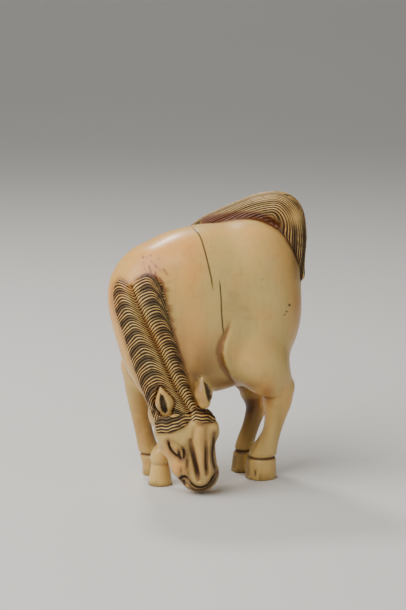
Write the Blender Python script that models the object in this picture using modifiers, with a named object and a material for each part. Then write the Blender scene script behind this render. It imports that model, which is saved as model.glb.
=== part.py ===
"""Grazing horse netsuke, carved from one piece of ivory.

The horse stands along X with its chest towards -X and its left side towards -Y. Z is up, and the
four hooves stand on z = 0. The neck bends down in front of the chest and turns the head to the left.

Places are given in millimetres in the carver's view: across to the right, rise above the ground
line and depth away from the eye, from the front left and a little above. The function seen() turns
them into the horse's own frame.
"""
import math

import bpy
import numpy as np
from mathutils import Matrix, Vector

MM = 0.001
PART_NAME = "grazing_horse"

# The finished horse's length, width and height, in millimetres.
HORSE_LENGTH = 43.2
HORSE_WIDTH = 27.0
HORSE_HEIGHT = 61.5

IVORY = (0.72, 0.56, 0.33, 1.0)
IVORY_ROUGHNESS = 0.35

# The carver's view of the horse.
VIEW_TURN = math.radians(20.0)
VIEW_RISE = math.radians(12.0)

# Mesh finish, in millimetres where it is a length.
TRUNK_VOXEL = 0.7
BODY_VOXEL = 0.34
TRUNK_SOFTEN = 75
BODY_SOFTEN = 6
HEAD_VOXEL = 0.4
HEAD_SOFTEN = 18
TRIANGLES = 9400
SOLE_SNAP = 0.12
SIGHT_CELL = 0.9
SIGHT_DEPTH = 3.0
SIGHT_CELLS = 300
SIGHT_MIDDLE = 100
SIGHT_FACING = 0.05

# How many straight pieces the round forms and the smooth paths are made of.
BALL_SIDES = 40
BALL_RINGS = 24
HOOF_SIDES = 40
TUBE_BEVEL = 6
LIMB_STEPS = 6
TAIL_STEPS = 8
PARTING_STEPS = 12
ARC_PLACES = 6

# Hooves: foot centre on the ground in the view (across, depth), sole radius, height, top radius.
HOOF_HEIGHT = 4.6
HOOF_BELOW = 0.8
HOOVES = {
    "near_fore": ((-9.5, -5.0), 2.6, 1.85),
    "far_fore": ((-11.2, 3.0), 2.35, 2.3),
    "near_hind": ((12.1, 0.4), 3.4, 3.2),
    "far_hind": ((8.3, 5.6), 2.6, 2.05),
}

# Trunk masses: centre in the view, half sizes along, across and up the horse.
TRUNK = [
    ((-9.3, 39.0, -3.0), (11.6, 10.6, 12.2)),
    ((-3.8, 39.0, -1.2), (14.0, 11.8, 14.8)),
    ((0.4, 36.4, 0.0), (17.0, 12.2, 18.5)),
    ((9.3, 43.6, 2.6), (11.5, 11.0, 11.6)),
    ((10.4, 37.1, 2.6), (10.3, 11.6, 15.5)),
    ((-9.1, 29.7, -1.5), (9.4, 9.4, 12.0)),
]

# Limbs, as stations of (across, rise, depth, radius).
NECK = [
    (-9.3, 42.6, -4.0, 8.4),
    (-12.5, 37.5, -5.5, 7.8),
    (-12.1, 30.1, -7.2, 6.6),
    (-9.5, 22.9, -8.6, 6.0),
    (-5.9, 17.4, -9.6, 5.2),
    (-3.8, 13.6, -10.4, 4.6),
]
NEAR_THIGH = [
    (11.4, 35.6, 0.8, 8.6),
    (10.0, 29.0, -3.1, 7.0),
    (12.6, 23.7, -4.0, 5.9),
    (15.7, 19.7, -2.6, 3.5),
]
FAR_THIGH = [
    (10.0, 33.9, 5.0, 8.8),
    (7.0, 27.5, 8.6, 6.4),
    (9.5, 22.5, 8.8, 4.6),
    (11.2, 18.6, 8.0, 3.0),
]
NEAR_HIND = [
    (15.7, 19.5, -2.4, 3.45),
    (15.4, 16.1, -1.9, 3.1),
    (15.1, 13.6, -1.5, 2.4),
    (14.5, 10.6, -1.0, 2.0),
    (13.6, 7.8, -0.4, 2.25),
    (12.7, 5.5, 0.2, 2.9),
    (12.1, 3.6, 0.4, 3.1),
]
FAR_HIND = [
    (11.0, 18.6, 7.6, 3.5),
    (11.2, 15.3, 7.0, 2.45),
    (10.6, 12.7, 6.6, 2.0),
    (9.9, 10.4, 6.2, 1.85),
    (9.1, 8.1, 5.9, 1.95),
    (8.5, 5.9, 5.6, 2.1),
    (8.3, 4.2, 5.6, 2.1),
]
NEAR_FORE = [
    (-7.0, 22.2, -4.0, 4.6),
    (-7.0, 16.5, -4.4, 2.9),
    (-7.3, 11.4, -4.7, 2.0),
    (-7.7, 8.5, -4.8, 1.8),
    (-8.5, 6.6, -4.9, 1.9),
    (-9.4, 5.0, -5.0, 2.1),
    (-9.4, 3.0, -5.0, 1.85),
]
FAR_FORE = [
    (-13.8, 24.2, 0.5, 4.2),
    (-14.4, 18.6, 1.4, 2.6),
    (-14.0, 14.4, 2.0, 2.05),
    (-13.5, 11.4, 2.4, 1.95),
    (-12.9, 8.9, 2.7, 2.0),
    (-12.3, 6.4, 3.0, 2.2),
    (-11.5, 4.0, 3.0, 2.25),
]

# The head: masses in its own frame, turned so that the forehead looks past the eye to the right.
HEAD_TURN = math.radians(27.0)
HEAD = [
    ((-4.2, 11.2, -11.0), (6.9, 4.7, 5.0)),
    ((-3.7, 8.5, -10.6), (6.3, 4.8, 4.8)),
    ((-2.6, 4.9, -11.0), (5.2, 4.6, 5.4)),
    ((-1.2, 1.6, -11.6), (4.4, 3.9, 4.0)),
    ((0.8, 10.9, -11.8), (2.15, 3.0, 3.1)),
]
NOSE = [
    (-1.9, 11.9, -13.0, 2.9),
    (-0.8, 8.5, -13.4, 2.9),
    (-0.2, 4.9, -13.2, 2.7),
    (0.0, 1.7, -13.0, 2.8),
]

TAIL = [
    (20.1, 43.4, 2.0, 1.2),
    (19.3, 47.0, 2.6, 2.1),
    (18.8, 52.5, 3.4, 2.95),
    (16.8, 56.9, 4.4, 3.85),
    (12.9, 57.6, 5.4, 3.6),
    (8.5, 56.6, 6.0, 3.2),
    (4.2, 55.3, 6.4, 2.7),
    (0.2, 53.8, 6.6, 2.3),
    (-2.8, 52.5, 6.6, 1.5),
]
TAIL_FAR = [
    (19.3, 46.2, 4.6, 1.8),
    (17.8, 51.7, 6.2, 3.2),
    (13.6, 55.3, 8.0, 3.7),
    (8.7, 54.9, 8.9, 3.4),
    (4.0, 53.6, 9.0, 2.8),
    (-0.4, 52.3, 8.4, 1.7),
]

# The mane: two raised lobes on each side of its parting, and how far apart its locks are cut.
PARTING = [(-15.3, 40.7), (-14.0, 37.3), (-12.0, 32.6), (-9.6, 28.0), (-8.1, 24.2), (-6.1, 19.9),
           (-4.4, 16.9), (-3.2, 14.6)]
LEFT_LOBE = [(-15.3, 40.7), (-16.3, 41.8), (-17.8, 42.5), (-18.9, 41.3), (-19.2, 39.2), (-18.9, 36.4),
             (-18.1, 33.9), (-17.2, 31.4), (-16.3, 28.6), (-14.8, 23.9), (-13.1, 19.3), (-11.4, 14.8),
             (-10.2, 12.1), (-7.8, 11.9), (-3.2, 14.6), (-6.1, 19.9), (-9.6, 28.0), (-14.0, 37.3)]
RIGHT_LOBE = [(-15.3, 40.7), (-14.0, 42.6), (-12.0, 43.3), (-10.2, 42.9), (-8.8, 41.5), (-8.1, 37.7),
              (-7.1, 33.5), (-5.4, 28.0), (-4.0, 23.3), (-2.5, 18.9), (-1.7, 15.7), (-3.2, 14.6),
              (-6.1, 19.9), (-9.6, 28.0), (-14.0, 37.3)]
LEFT_REACH = 6.2
RIGHT_REACH = 5.0
LOCK_LIFT = 1.6
LOCK_FALL = 3.4
FIRST_LOCK = 1.2
MANE_RAISE = 0.85
MANE_EDGE = 2.2
PARTING_WIDTH = 0.8
PARTING_DEPTH = 0.7
LOCK_PITCH = 2.3
LOCK_WIDTH = 0.6
LOCK_DEPTH = 0.35

# The forelock: two tufts that lie over the forehead.
FORELOCK = [
    [(-3.2, 15.0), (-6.1, 13.8), (-9.5, 13.8), (-10.5, 12.5), (-10.0, 10.4), (-7.0, 10.5),
     (-4.4, 11.7), (-2.8, 13.3)],
    [(-3.2, 15.0), (-1.1, 16.1), (1.5, 15.5), (2.4, 14.0), (2.1, 12.5), (-0.4, 12.5), (-2.8, 13.1)],
]
FORELOCK_RAISE = 0.5
FORELOCK_EDGE = 1.0

# Carved lines of the face and legs: stroke, half width, depth.
FACE = {
    "lid": ([(-7.5, 8.4), (-6.8, 6.5), (-5.7, 5.6), (-5.0, 5.1)], 0.45, 0.35),
    "brow": ([(-6.1, 8.3), (-4.7, 7.2), (-3.8, 5.7)], 0.7, 0.3),
    "inner_flute": ([(-3.0, 8.9), (-2.3, 5.9), (-1.7, 3.0), (-1.3, 0.4)], 0.6, 0.4),
    "middle_flute": ([(0.4, 8.5), (0.6, 5.1), (0.4, 1.7)], 0.6, 0.35),
    "outer_flute": ([(1.9, 8.7), (1.7, 6.6), (2.2, 3.6)], 0.5, 0.35),
    "nostril": ([(-5.3, 0.6), (-4.7, 1.2), (-3.9, 0.6), (-3.8, -0.4)], 0.5, 0.4),
    "muzzle": ([(-3.8, -0.4), (-2.1, -0.8), (-0.4, -1.3), (0.6, -0.6), (1.9, 1.1), (2.3, 2.1)], 0.4, 0.3),
}

# The crease in front of the haunch: the haunch stands up behind it and the flank dips before it.
FLANK = [(5.7, 34.3), (4.9, 31.6), (3.8, 29.2), (3.5, 27.1), (4.0, 24.6), (5.5, 22.0), (7.4, 19.5)]
HAUNCH_RISE = 0.8
HAUNCH_SPREAD = 6.5
FLANK_DIP = 0.4
FLANK_SPREAD = 2.0
CREASE_SOFT = 0.4

EYE = [(-7.4, 8.3), (-6.1, 8.5), (-4.7, 7.2), (-4.0, 5.3), (-5.3, 4.7), (-6.8, 5.7)]
EYE_RAISE = 0.35
EYE_EDGE = 1.0

# Nothing of the face is cut deeper in the view than this. The mane's limit comes nearer further down.
FACE_BACK = -8.5
MANE_BACK = -9.0
MANE_BACK_RISE = 15.0
MANE_BACK_SLOPE = 0.28

# Each hoof is marked off by a groove just above it.
CORONET_WIDTH = 0.55
CORONET_DEPTH = 0.45
CORONET_REACH = 3.9

TAIL_LOCKS = 9
TAIL_LOCK_DEPTH = 0.3
TAIL_REACH = 1.35
TAIL_EDGE_FADE = 0.15
TAIL_TIP_FADE = 0.12

# Ears: tip, base and the outline of the hollow, in the view.
EARS = [
    ((-9.2, 19.8, -14.8), (-8.1, 15.0, -13.6),
     [(-9.3, 18.8), (-9.5, 17.4), (-9.3, 15.9), (-8.9, 14.8), (-8.2, 14.3), (-7.6, 14.9), (-7.8, 16.7),
      (-8.5, 18.2)]),
    ((-0.5, 22.0, -13.8), (-0.1, 16.7, -13.6),
     [(-0.3, 21.3), (0.1, 19.7), (0.4, 18.1), (0.9, 16.7), (1.5, 17.8), (1.3, 19.2), (0.6, 20.6)]),
]
EAR_RADIUS = 1.9
EAR_CLEAR = 1.3
EAR_BASE_SHARE = 0.7
EAR_TIP_RADIUS = 0.35
EAR_WIDEST = 0.6
EAR_HOLLOW_EDGE = 0.45
EAR_HOLLOW_DEPTH = 0.65


def seen(place):
    """The point of the horse's own frame, in metres, that the view shows at this place."""
    across, rise, deep = place
    up = (rise - math.sin(VIEW_RISE) * deep) / math.cos(VIEW_RISE)
    along = math.cos(VIEW_TURN) * across + math.sin(VIEW_TURN) * deep
    side = -math.sin(VIEW_TURN) * across + math.cos(VIEW_TURN) * deep
    return Vector((along, side, up)) * MM


def clear_scene():
    """Takes away whatever the file opened with."""
    for thing in list(bpy.data.objects):
        bpy.data.objects.remove(thing, do_unlink=True)


def ball(centre, half, turn=0.0):
    """An ellipsoid mass: half sizes in millimetres along its own axes."""
    bpy.ops.mesh.primitive_uv_sphere_add(segments=BALL_SIDES, ring_count=BALL_RINGS, radius=1.0)
    mass = bpy.context.object
    scale = Matrix.Diagonal((*[size * MM for size in half], 1.0))
    mass.data.transform(Matrix.Translation(seen(centre)) @ Matrix.Rotation(turn, 4, "Z") @ scale)
    return mass


def between(stations, steps):
    """Stations filled in along a smooth path through all of them."""
    rows = np.array(stations, float)
    rows = np.vstack([2 * rows[0] - rows[1], rows, 2 * rows[-1] - rows[-2]])
    path = []
    for a, b, c, d in zip(rows[:-3], rows[1:-2], rows[2:-1], rows[3:]):
        for t in np.arange(steps) / steps:
            path.append(0.5 * (2 * b + (c - a) * t + (2 * a - 5 * b + 4 * c - d) * t ** 2
                               + (3 * b - a - 3 * c + d) * t ** 3))
    path.append(rows[-2])
    return np.array(path)


def limb(name, stations, steps=LIMB_STEPS):
    """A round limb through its stations, with rounded ends."""
    path = between(stations, steps)
    curve = bpy.data.curves.new(name, "CURVE")
    curve.dimensions = "3D"
    curve.bevel_depth = MM
    curve.bevel_resolution = TUBE_BEVEL
    curve.use_fill_caps = True
    spline = curve.splines.new("POLY")
    spline.points.add(len(path) - 1)
    for point, (across, rise, deep, radius) in zip(spline.points, path):
        point.co = (*seen((across, rise, deep)), 1.0)
        point.radius = radius
    holder = bpy.data.objects.new(name, curve)
    bpy.context.scene.collection.objects.link(holder)
    graph = bpy.context.evaluated_depsgraph_get()
    mesh = bpy.data.meshes.new_from_object(holder.evaluated_get(graph))
    bpy.data.objects.remove(holder, do_unlink=True)
    tube = bpy.data.objects.new(name, mesh)
    bpy.context.scene.collection.objects.link(tube)
    ends = [ball(path[i][:3], (path[i][3],) * 3) for i in (0, -1)]
    return [tube, *ends]


def grounded(foot):
    """The point of the ground where a foot stands, from its place across and deep in the view."""
    across, deep = foot
    return seen((across, math.sin(VIEW_RISE) * deep, deep))


def hoof(foot, sole, top):
    """A cone-shaped hoof that reaches just below the ground, where it is cut flat."""
    height = HOOF_HEIGHT + HOOF_BELOW
    spread = (sole - top) / HOOF_HEIGHT
    bpy.ops.mesh.primitive_cone_add(vertices=HOOF_SIDES, radius1=(sole + spread * HOOF_BELOW) * MM,
                                    radius2=top * MM, depth=height * MM)
    horn = bpy.context.object
    middle = grounded(foot) + Vector((0, 0, (height / 2 - HOOF_BELOW) * MM))
    horn.data.transform(Matrix.Translation(middle))
    return horn


def join(pieces):
    """One object out of several."""
    bpy.ops.object.select_all(action="DESELECT")
    for piece in pieces:
        piece.select_set(True)
    bpy.context.view_layer.objects.active = pieces[0]
    bpy.ops.object.join()
    return pieces[0]


def apply(thing, kind, **settings):
    """Adds one modifier and applies it."""
    bpy.ops.object.select_all(action="DESELECT")
    thing.select_set(True)
    bpy.context.view_layer.objects.active = thing
    modifier = thing.modifiers.new(kind.lower(), kind)
    for key, value in settings.items():
        setattr(modifier, key, value)
    bpy.ops.object.modifier_apply(modifier=modifier.name)


def melt(pieces, voxel, soften):
    """Several overlapping masses melted into one skin and smoothed."""
    body = join(pieces)
    apply(body, "REMESH", mode="VOXEL", voxel_size=voxel * MM, adaptivity=0.0)
    if soften:
        apply(body, "SMOOTH", factor=0.5, iterations=soften)
    return body


def coordinates(mesh, normals=False):
    """The mesh's points, and their normals when asked, as arrays."""
    points = np.empty(len(mesh.vertices) * 3)
    mesh.vertices.foreach_get("co", points)
    if not normals:
        return points.reshape(-1, 3)
    facing = np.empty(len(mesh.vertices) * 3)
    mesh.vertices.foreach_get("normal", facing)
    return points.reshape(-1, 3), facing.reshape(-1, 3)


def picture(points):
    """How the carver's view sees points of the horse: across, rise and depth, in millimetres."""
    x, y, z = (points / MM).T
    across = math.cos(VIEW_TURN) * x - math.sin(VIEW_TURN) * y
    deep = math.sin(VIEW_TURN) * x + math.cos(VIEW_TURN) * y
    rise = math.cos(VIEW_RISE) * z + math.sin(VIEW_RISE) * deep
    return np.column_stack((across, rise)), deep


def in_sight(points, normals):
    """Which points the carver's view can see, by the nearest depth in each small cell of the view."""
    plane, deep = picture(points)
    eye = np.array((-math.sin(VIEW_TURN) * math.cos(VIEW_RISE),
                    -math.cos(VIEW_TURN) * math.cos(VIEW_RISE), math.sin(VIEW_RISE)))
    cells = np.floor(plane / SIGHT_CELL).astype(int) + SIGHT_MIDDLE
    nearest = np.full((SIGHT_CELLS, SIGHT_CELLS), np.inf)
    np.minimum.at(nearest, (cells[:, 0], cells[:, 1]), deep)
    return (normals @ eye > SIGHT_FACING) & (deep < nearest[cells[:, 0], cells[:, 1]] + SIGHT_DEPTH)


def distance_to(plane, stroke):
    """Distance of each place to a stroke, and how far along the stroke its nearest place lies."""
    stroke = np.array(stroke, float)
    lengths = np.hypot(*(stroke[1:] - stroke[:-1]).T)
    total = lengths.sum()
    best = np.full(len(plane), np.inf)
    along = np.zeros(len(plane))
    walked = 0.0
    for start, end, length in zip(stroke[:-1], stroke[1:], lengths):
        step = (end - start) / length
        share = np.clip((plane - start) @ step, 0.0, length)
        away = np.hypot(*(plane - start - share[:, None] * step).T)
        closer = away < best
        best[closer] = away[closer]
        along[closer] = (walked + share[closer]) / total
        walked += length
    return best, along


def inside(plane, outline):
    """Which places lie inside a closed outline."""
    outline = np.array(outline, float)
    within = np.zeros(len(plane), bool)
    for (x1, y1), (x2, y2) in zip(outline, np.roll(outline, -1, axis=0)):
        spans = (plane[:, 1] < y1) != (plane[:, 1] < y2)
        if y1 != y2:
            cross = (x2 - x1) * (plane[:, 1] - y1) / (y2 - y1) + x1
            within ^= spans & (plane[:, 0] < cross)
    return within


def raised(plane, outline, edge):
    """A pillow over an outline: one well inside it, falling round to nothing over its edge."""
    away, _ = distance_to(plane, [*outline, outline[0]])
    share = np.clip(np.where(inside(plane, outline), away, 0.0) / edge, 0.0, 1.0)
    return np.sqrt(1.0 - (1.0 - share) ** 2)


def scored(plane, stroke, half_width):
    """A groove along a stroke: one on its line, nothing beyond its half width."""
    away, _ = distance_to(plane, stroke)
    return np.clip(1.0 - (away / half_width) ** 2, 0.0, 1.0) ** 1.5


def around(points, stations):
    """For each point: nearest place along a limb, distance from its middle and angle round it."""
    path = between(stations, TAIL_STEPS)
    middles = np.array([seen(row[:3]) for row in path]) / MM
    ahead = np.gradient(middles, axis=0)
    ahead /= np.linalg.norm(ahead, axis=1)[:, None]
    spread = points / MM
    nearest = np.array([np.argmin(((middles - point) ** 2).sum(axis=1)) for point in spread])
    away = spread - middles[nearest]
    level = np.cross(ahead, (0.0, 1.0, 0.0))
    level /= np.linalg.norm(level, axis=1)[:, None]
    upright = np.cross(level, ahead)
    angle = np.arctan2((away * upright[nearest]).sum(axis=1), (away * level[nearest]).sum(axis=1))
    return nearest / (len(path) - 1), np.linalg.norm(away, axis=1), path[nearest, 3], angle


def build_trunk():
    """Barrel, shoulder, rump and neck, with the tops of both hind legs."""
    masses = [ball(centre, half) for centre, half in TRUNK]
    masses += limb("neck", NECK)
    masses += limb("near_haunch", NEAR_THIGH[:3])
    masses += limb("far_haunch", FAR_THIGH[:3])
    return melt(masses, TRUNK_VOXEL, TRUNK_SOFTEN)


def build_head():
    """The head, turned on the neck."""
    turn = HEAD_TURN - VIEW_TURN
    masses = [ball(centre, half, turn) for centre, half in HEAD]
    masses += limb("nose", NOSE)
    return melt(masses, HEAD_VOXEL, HEAD_SOFTEN)


def ear_stations(tip, base):
    """An ear: narrow at its base, widest just above it and pointed at its tip."""
    middle = tuple((1 - EAR_WIDEST) * t + EAR_WIDEST * b for t, b in zip(tip, base))
    return [(*base, EAR_BASE_SHARE * EAR_RADIUS), (*middle, EAR_RADIUS), (*tip, EAR_TIP_RADIUS)]


def build_ears():
    """Both ears, still without their hollows."""
    ears = []
    for tip, base, _ in EARS:
        ears += limb("ear", ear_stations(tip, base))
    return ears


def lock_cuts():
    """Arcs across both lobes, from the parting down to the edge, one for each lock."""
    path = between([(*place, 0.0, 0.0) for place in PARTING], PARTING_STEPS)[:, :2]
    walked = np.concatenate(([0.0], np.cumsum(np.hypot(*np.diff(path, axis=0).T))))
    cuts = []
    shares = np.linspace(0.0, 1.0, ARC_PLACES)
    for start in np.arange(FIRST_LOCK, walked[-1], LOCK_PITCH):
        root = np.array([np.interp(start, walked, path[:, i]) for i in (0, 1)])
        for reach in (-LEFT_REACH, RIGHT_REACH):
            rise = root[1] + LOCK_LIFT * shares - LOCK_FALL * shares ** 2
            cuts.append((reach, np.column_stack((root[0] + reach * shares, rise))))
    return cuts


def crease(plane, stroke):
    """The step across the flank crease: raised on the rump side and dipped on the belly side."""
    away, _ = distance_to(plane, stroke)
    path = np.array(stroke, float)
    edge = np.interp(plane[:, 1], path[::-1, 1], path[::-1, 0])
    side = np.tanh((plane[:, 0] - edge) / CREASE_SOFT)
    haunch = HAUNCH_RISE * np.exp(-((away / HAUNCH_SPREAD) ** 2))
    flank = FLANK_DIP * np.exp(-((away / FLANK_SPREAD) ** 2))
    low, high = path[-1, 1], path[0, 1]
    fade = np.sin(math.pi * np.clip((plane[:, 1] - low) / (high - low), 0.0, 1.0))
    return fade * side * np.where(side > 0, haunch, flank)


def carve(body):
    """Mane, forelock, face, ears, tail locks and coronets, cut along the normals of the skin."""
    mesh = body.data
    points, normals = coordinates(mesh, normals=True)
    plane, deep = picture(points)
    sight = in_sight(points, normals)
    height = np.zeros(len(points))
    left = raised(plane, LEFT_LOBE, MANE_EDGE)
    right = raised(plane, RIGHT_LOBE, MANE_EDGE)
    height += MANE_RAISE * np.maximum(left, right)
    height -= PARTING_DEPTH * scored(plane, PARTING, PARTING_WIDTH)
    for reach, arc in lock_cuts():
        height -= LOCK_DEPTH * scored(plane, arc, LOCK_WIDTH) * (left if reach < 0 else right)
    height *= deep < MANE_BACK + MANE_BACK_SLOPE * (plane[:, 1] - MANE_BACK_RISE)
    face = EYE_RAISE * raised(plane, EYE, EYE_EDGE)
    for tuft in FORELOCK:
        face += FORELOCK_RAISE * raised(plane, tuft, FORELOCK_EDGE)
    for stroke, half_width, depth in FACE.values():
        face -= depth * scored(plane, stroke, half_width)
    height += face * (deep < FACE_BACK) + crease(plane, FLANK)
    for tip, base, cup in EARS:
        _, away, radius, _ = around(points, ear_stations(tip, base))
        hollow = EAR_HOLLOW_DEPTH * raised(plane, cup, EAR_HOLLOW_EDGE)
        height = np.where(away > EAR_CLEAR * radius, height, -hollow)
    height *= sight
    x, y, z = (points / MM).T
    for foot, _, _ in HOOVES.values():
        centre = grounded(foot) / MM
        near = np.hypot(x - centre.x, y - centre.y) < CORONET_REACH
        height -= CORONET_DEPTH * np.clip(1 - ((z - HOOF_HEIGHT) / CORONET_WIDTH) ** 2, 0, 1) * near
    near_share, near_away, near_radius, near_angle = around(points, TAIL)
    _, far_away, far_radius, far_angle = around(points, TAIL_FAR)
    nearer = near_away / near_radius < far_away / far_radius
    away = np.where(nearer, near_away / near_radius, far_away / far_radius)
    angle = np.where(nearer, near_angle, far_angle)
    on_tail = np.clip((TAIL_REACH - away) / TAIL_EDGE_FADE, 0.0, 1.0)
    on_tail *= np.clip(near_share / TAIL_TIP_FADE, 0.0, 1.0)
    height -= TAIL_LOCK_DEPTH * on_tail * (0.5 + 0.5 * np.cos(TAIL_LOCKS * angle))
    points += normals * height[:, None] * MM
    mesh.vertices.foreach_set("co", points.ravel())
    mesh.update()


def stand(body):
    """Cuts the hooves flat on the ground, thins the skin out and gives the horse its full size.

    The origin comes under the middle of the horse.
    """
    bpy.ops.object.select_all(action="DESELECT")
    body.select_set(True)
    bpy.context.view_layer.objects.active = body
    bpy.ops.object.mode_set(mode="EDIT")
    bpy.ops.mesh.select_all(action="SELECT")
    bpy.ops.mesh.bisect(plane_co=(0, 0, 0), plane_no=(0, 0, 1), use_fill=True, clear_inner=True)
    bpy.ops.object.mode_set(mode="OBJECT")
    apply(body, "TRIANGULATE")
    apply(body, "DECIMATE", ratio=TRIANGLES / len(body.data.polygons))
    bpy.ops.object.mode_set(mode="EDIT")
    bpy.ops.mesh.select_all(action="SELECT")
    bpy.ops.mesh.normals_make_consistent(inside=False)
    bpy.ops.object.mode_set(mode="OBJECT")
    points = coordinates(body.data)
    points[np.abs(points[:, 2]) < SOLE_SNAP * MM, 2] = 0.0
    points[:, :2] -= (points[:, :2].min(axis=0) + points[:, :2].max(axis=0)) / 2
    span = points.max(axis=0) - points.min(axis=0)
    points *= np.array((HORSE_LENGTH, HORSE_WIDTH, HORSE_HEIGHT)) * MM / span
    body.data.vertices.foreach_set("co", points.ravel())
    body.data.update()


def name_and_colour(body):
    """One named object in its own collection, with its own ivory material."""
    body.name = PART_NAME
    body.data.name = PART_NAME
    home = bpy.data.collections.new(PART_NAME)
    bpy.context.scene.collection.children.link(home)
    for old in list(body.users_collection):
        old.objects.unlink(body)
    home.objects.link(body)
    ivory = bpy.data.materials.new("stained_ivory")
    ivory.use_nodes = True
    shader = ivory.node_tree.nodes["Principled BSDF"]
    shader.inputs["Base Color"].default_value = IVORY
    shader.inputs["Roughness"].default_value = IVORY_ROUGHNESS
    body.data.materials.clear()
    body.data.materials.append(ivory)


def build():
    """Models the masses, melts them into one skin, carves it and stands it on its hooves."""
    clear_scene()
    pieces = [build_trunk()]
    for name, stations in (("near_thigh", NEAR_THIGH), ("far_thigh", FAR_THIGH),
                           ("near_hind", NEAR_HIND), ("far_hind", FAR_HIND),
                           ("near_fore", NEAR_FORE), ("far_fore", FAR_FORE),
                           ("tail", TAIL), ("tail_far", TAIL_FAR)):
        pieces += limb(name, stations)
    pieces += [hoof(*sizes) for sizes in HOOVES.values()]
    pieces.append(build_head())
    pieces += build_ears()
    body = melt(pieces, BODY_VOXEL, BODY_SOFTEN)
    carve(body)
    stand(body)
    name_and_colour(body)
    return body


build()
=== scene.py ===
"""The look of the grazing horse: a small ivory toggle, carved, stained, worn and polished.

The file is laid out as an add-on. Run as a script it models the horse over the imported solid,
cuts its hair, face and age marks, gives it its ivory and sets the stage.

Places are given in millimetres in the carver's view: across to the right, rise above the ground
line and depth away from the eye, from the front left and a little above. The function seen() turns
them into the horse's own frame.
"""

import math

import bpy
import numpy as np
from mathutils import Matrix, Vector


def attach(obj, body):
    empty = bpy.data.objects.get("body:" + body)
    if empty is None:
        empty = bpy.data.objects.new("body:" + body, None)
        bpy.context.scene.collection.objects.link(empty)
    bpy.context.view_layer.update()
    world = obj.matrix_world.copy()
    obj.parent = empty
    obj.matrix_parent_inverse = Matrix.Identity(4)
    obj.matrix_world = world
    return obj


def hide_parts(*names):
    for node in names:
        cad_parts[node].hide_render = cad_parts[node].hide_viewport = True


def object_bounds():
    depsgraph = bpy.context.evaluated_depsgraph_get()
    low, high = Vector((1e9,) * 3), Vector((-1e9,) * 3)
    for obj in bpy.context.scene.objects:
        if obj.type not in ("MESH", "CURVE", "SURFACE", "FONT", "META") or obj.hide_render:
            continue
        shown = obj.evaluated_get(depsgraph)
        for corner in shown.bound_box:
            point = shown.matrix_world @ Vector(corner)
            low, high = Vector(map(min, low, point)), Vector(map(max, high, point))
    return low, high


bl_info = {
    "name": "Grazing Horse Netsuke",
    "version": (1, 0, 0),
    "blender": (4, 5, 0),
    "location": "View3D > Sidebar > Netsuke",
    "description": "Models a small carved ivory horse with stained hair, and its stage",
    "category": "Object",
}

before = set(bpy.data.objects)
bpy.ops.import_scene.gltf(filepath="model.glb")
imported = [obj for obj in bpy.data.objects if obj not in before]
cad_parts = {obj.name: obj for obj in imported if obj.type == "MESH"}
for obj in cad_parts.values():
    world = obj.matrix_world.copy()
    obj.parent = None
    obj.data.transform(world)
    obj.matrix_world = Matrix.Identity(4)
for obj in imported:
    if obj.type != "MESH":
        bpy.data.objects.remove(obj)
CAD_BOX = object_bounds()

MM = 0.001
NODE = "grazing_horse"
SKIN = "ivory_horse"

# The carver's view of the horse, and where its ground point lies in the horse's frame.
VIEW_TURN = math.radians(20.0)
VIEW_RISE = math.radians(12.0)
VIEW_POINT = (-0.383, 1.589)

# How finely a path is drawn: along a stroke, a limb, a limb's middle line and the parting,
# and how many points are worked on at once.
STROKE_STEPS = 6
LIMB_STEPS = 8
MIDDLE_STEPS = 16
PARTING_STEPS = 24
BATCH = 20000

# How round the masses, limbs and hooves are made before they are melted.
BALL_SIDES = 48
BALL_RINGS = 28
LIMB_BEVEL = 10
HOOF_SIDES = 64

# How the masses are melted together, in millimetres and rounds of smoothing.
SOFTEN_BY = 0.5
TRUNK_VOXEL = 0.7
TRUNK_SOFTEN = 75
HEAD_VOXEL = 0.4
HEAD_SOFTEN = 18
SKIN_SOFTEN = 14

# What the carver sees: cells of the view, how many, where the view's middle lies among them, how far
# behind the nearest point a point may lie, and how squarely its skin has to face the eye.
SIGHT_CELL = 0.5
SIGHT_CELLS = 300
SIGHT_MIDDLE = 100
SIGHT_DEPTH = 3.0
SIGHT_FACING = 0.05

# Hooves: foot centre on the ground in the view (across, depth), sole radius, top radius.
HOOF_HEIGHT = 4.6
HOOF_BELOW = 0.8
HOOVES = {
    "near_fore": ((-9.5, -5.0), 2.6, 1.85), "far_fore": ((-11.2, 3.0), 2.35, 2.3),
    "near_hind": ((12.1, 0.4), 3.4, 3.2), "far_hind": ((8.3, 5.6), 2.6, 2.05),
}

# Trunk masses: centre in the view, half sizes along, across and up the horse.
TRUNK = [
    ((-9.32, 38.98, -3.0), (11.6, 10.6, 12.2)),
    ((-3.81, 38.98, -1.2), (14.0, 11.8, 14.8)),
    ((0.42, 36.38, 0.0), (17.0, 12.2, 18.5)),
    ((9.32, 43.64, 2.6), (11.5, 11.0, 12.6)),
    ((10.38, 37.08, 2.6), (10.3, 11.6, 15.5)),
    ((-9.11, 29.66, -1.5), (9.4, 9.4, 12.0)),
]

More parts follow.
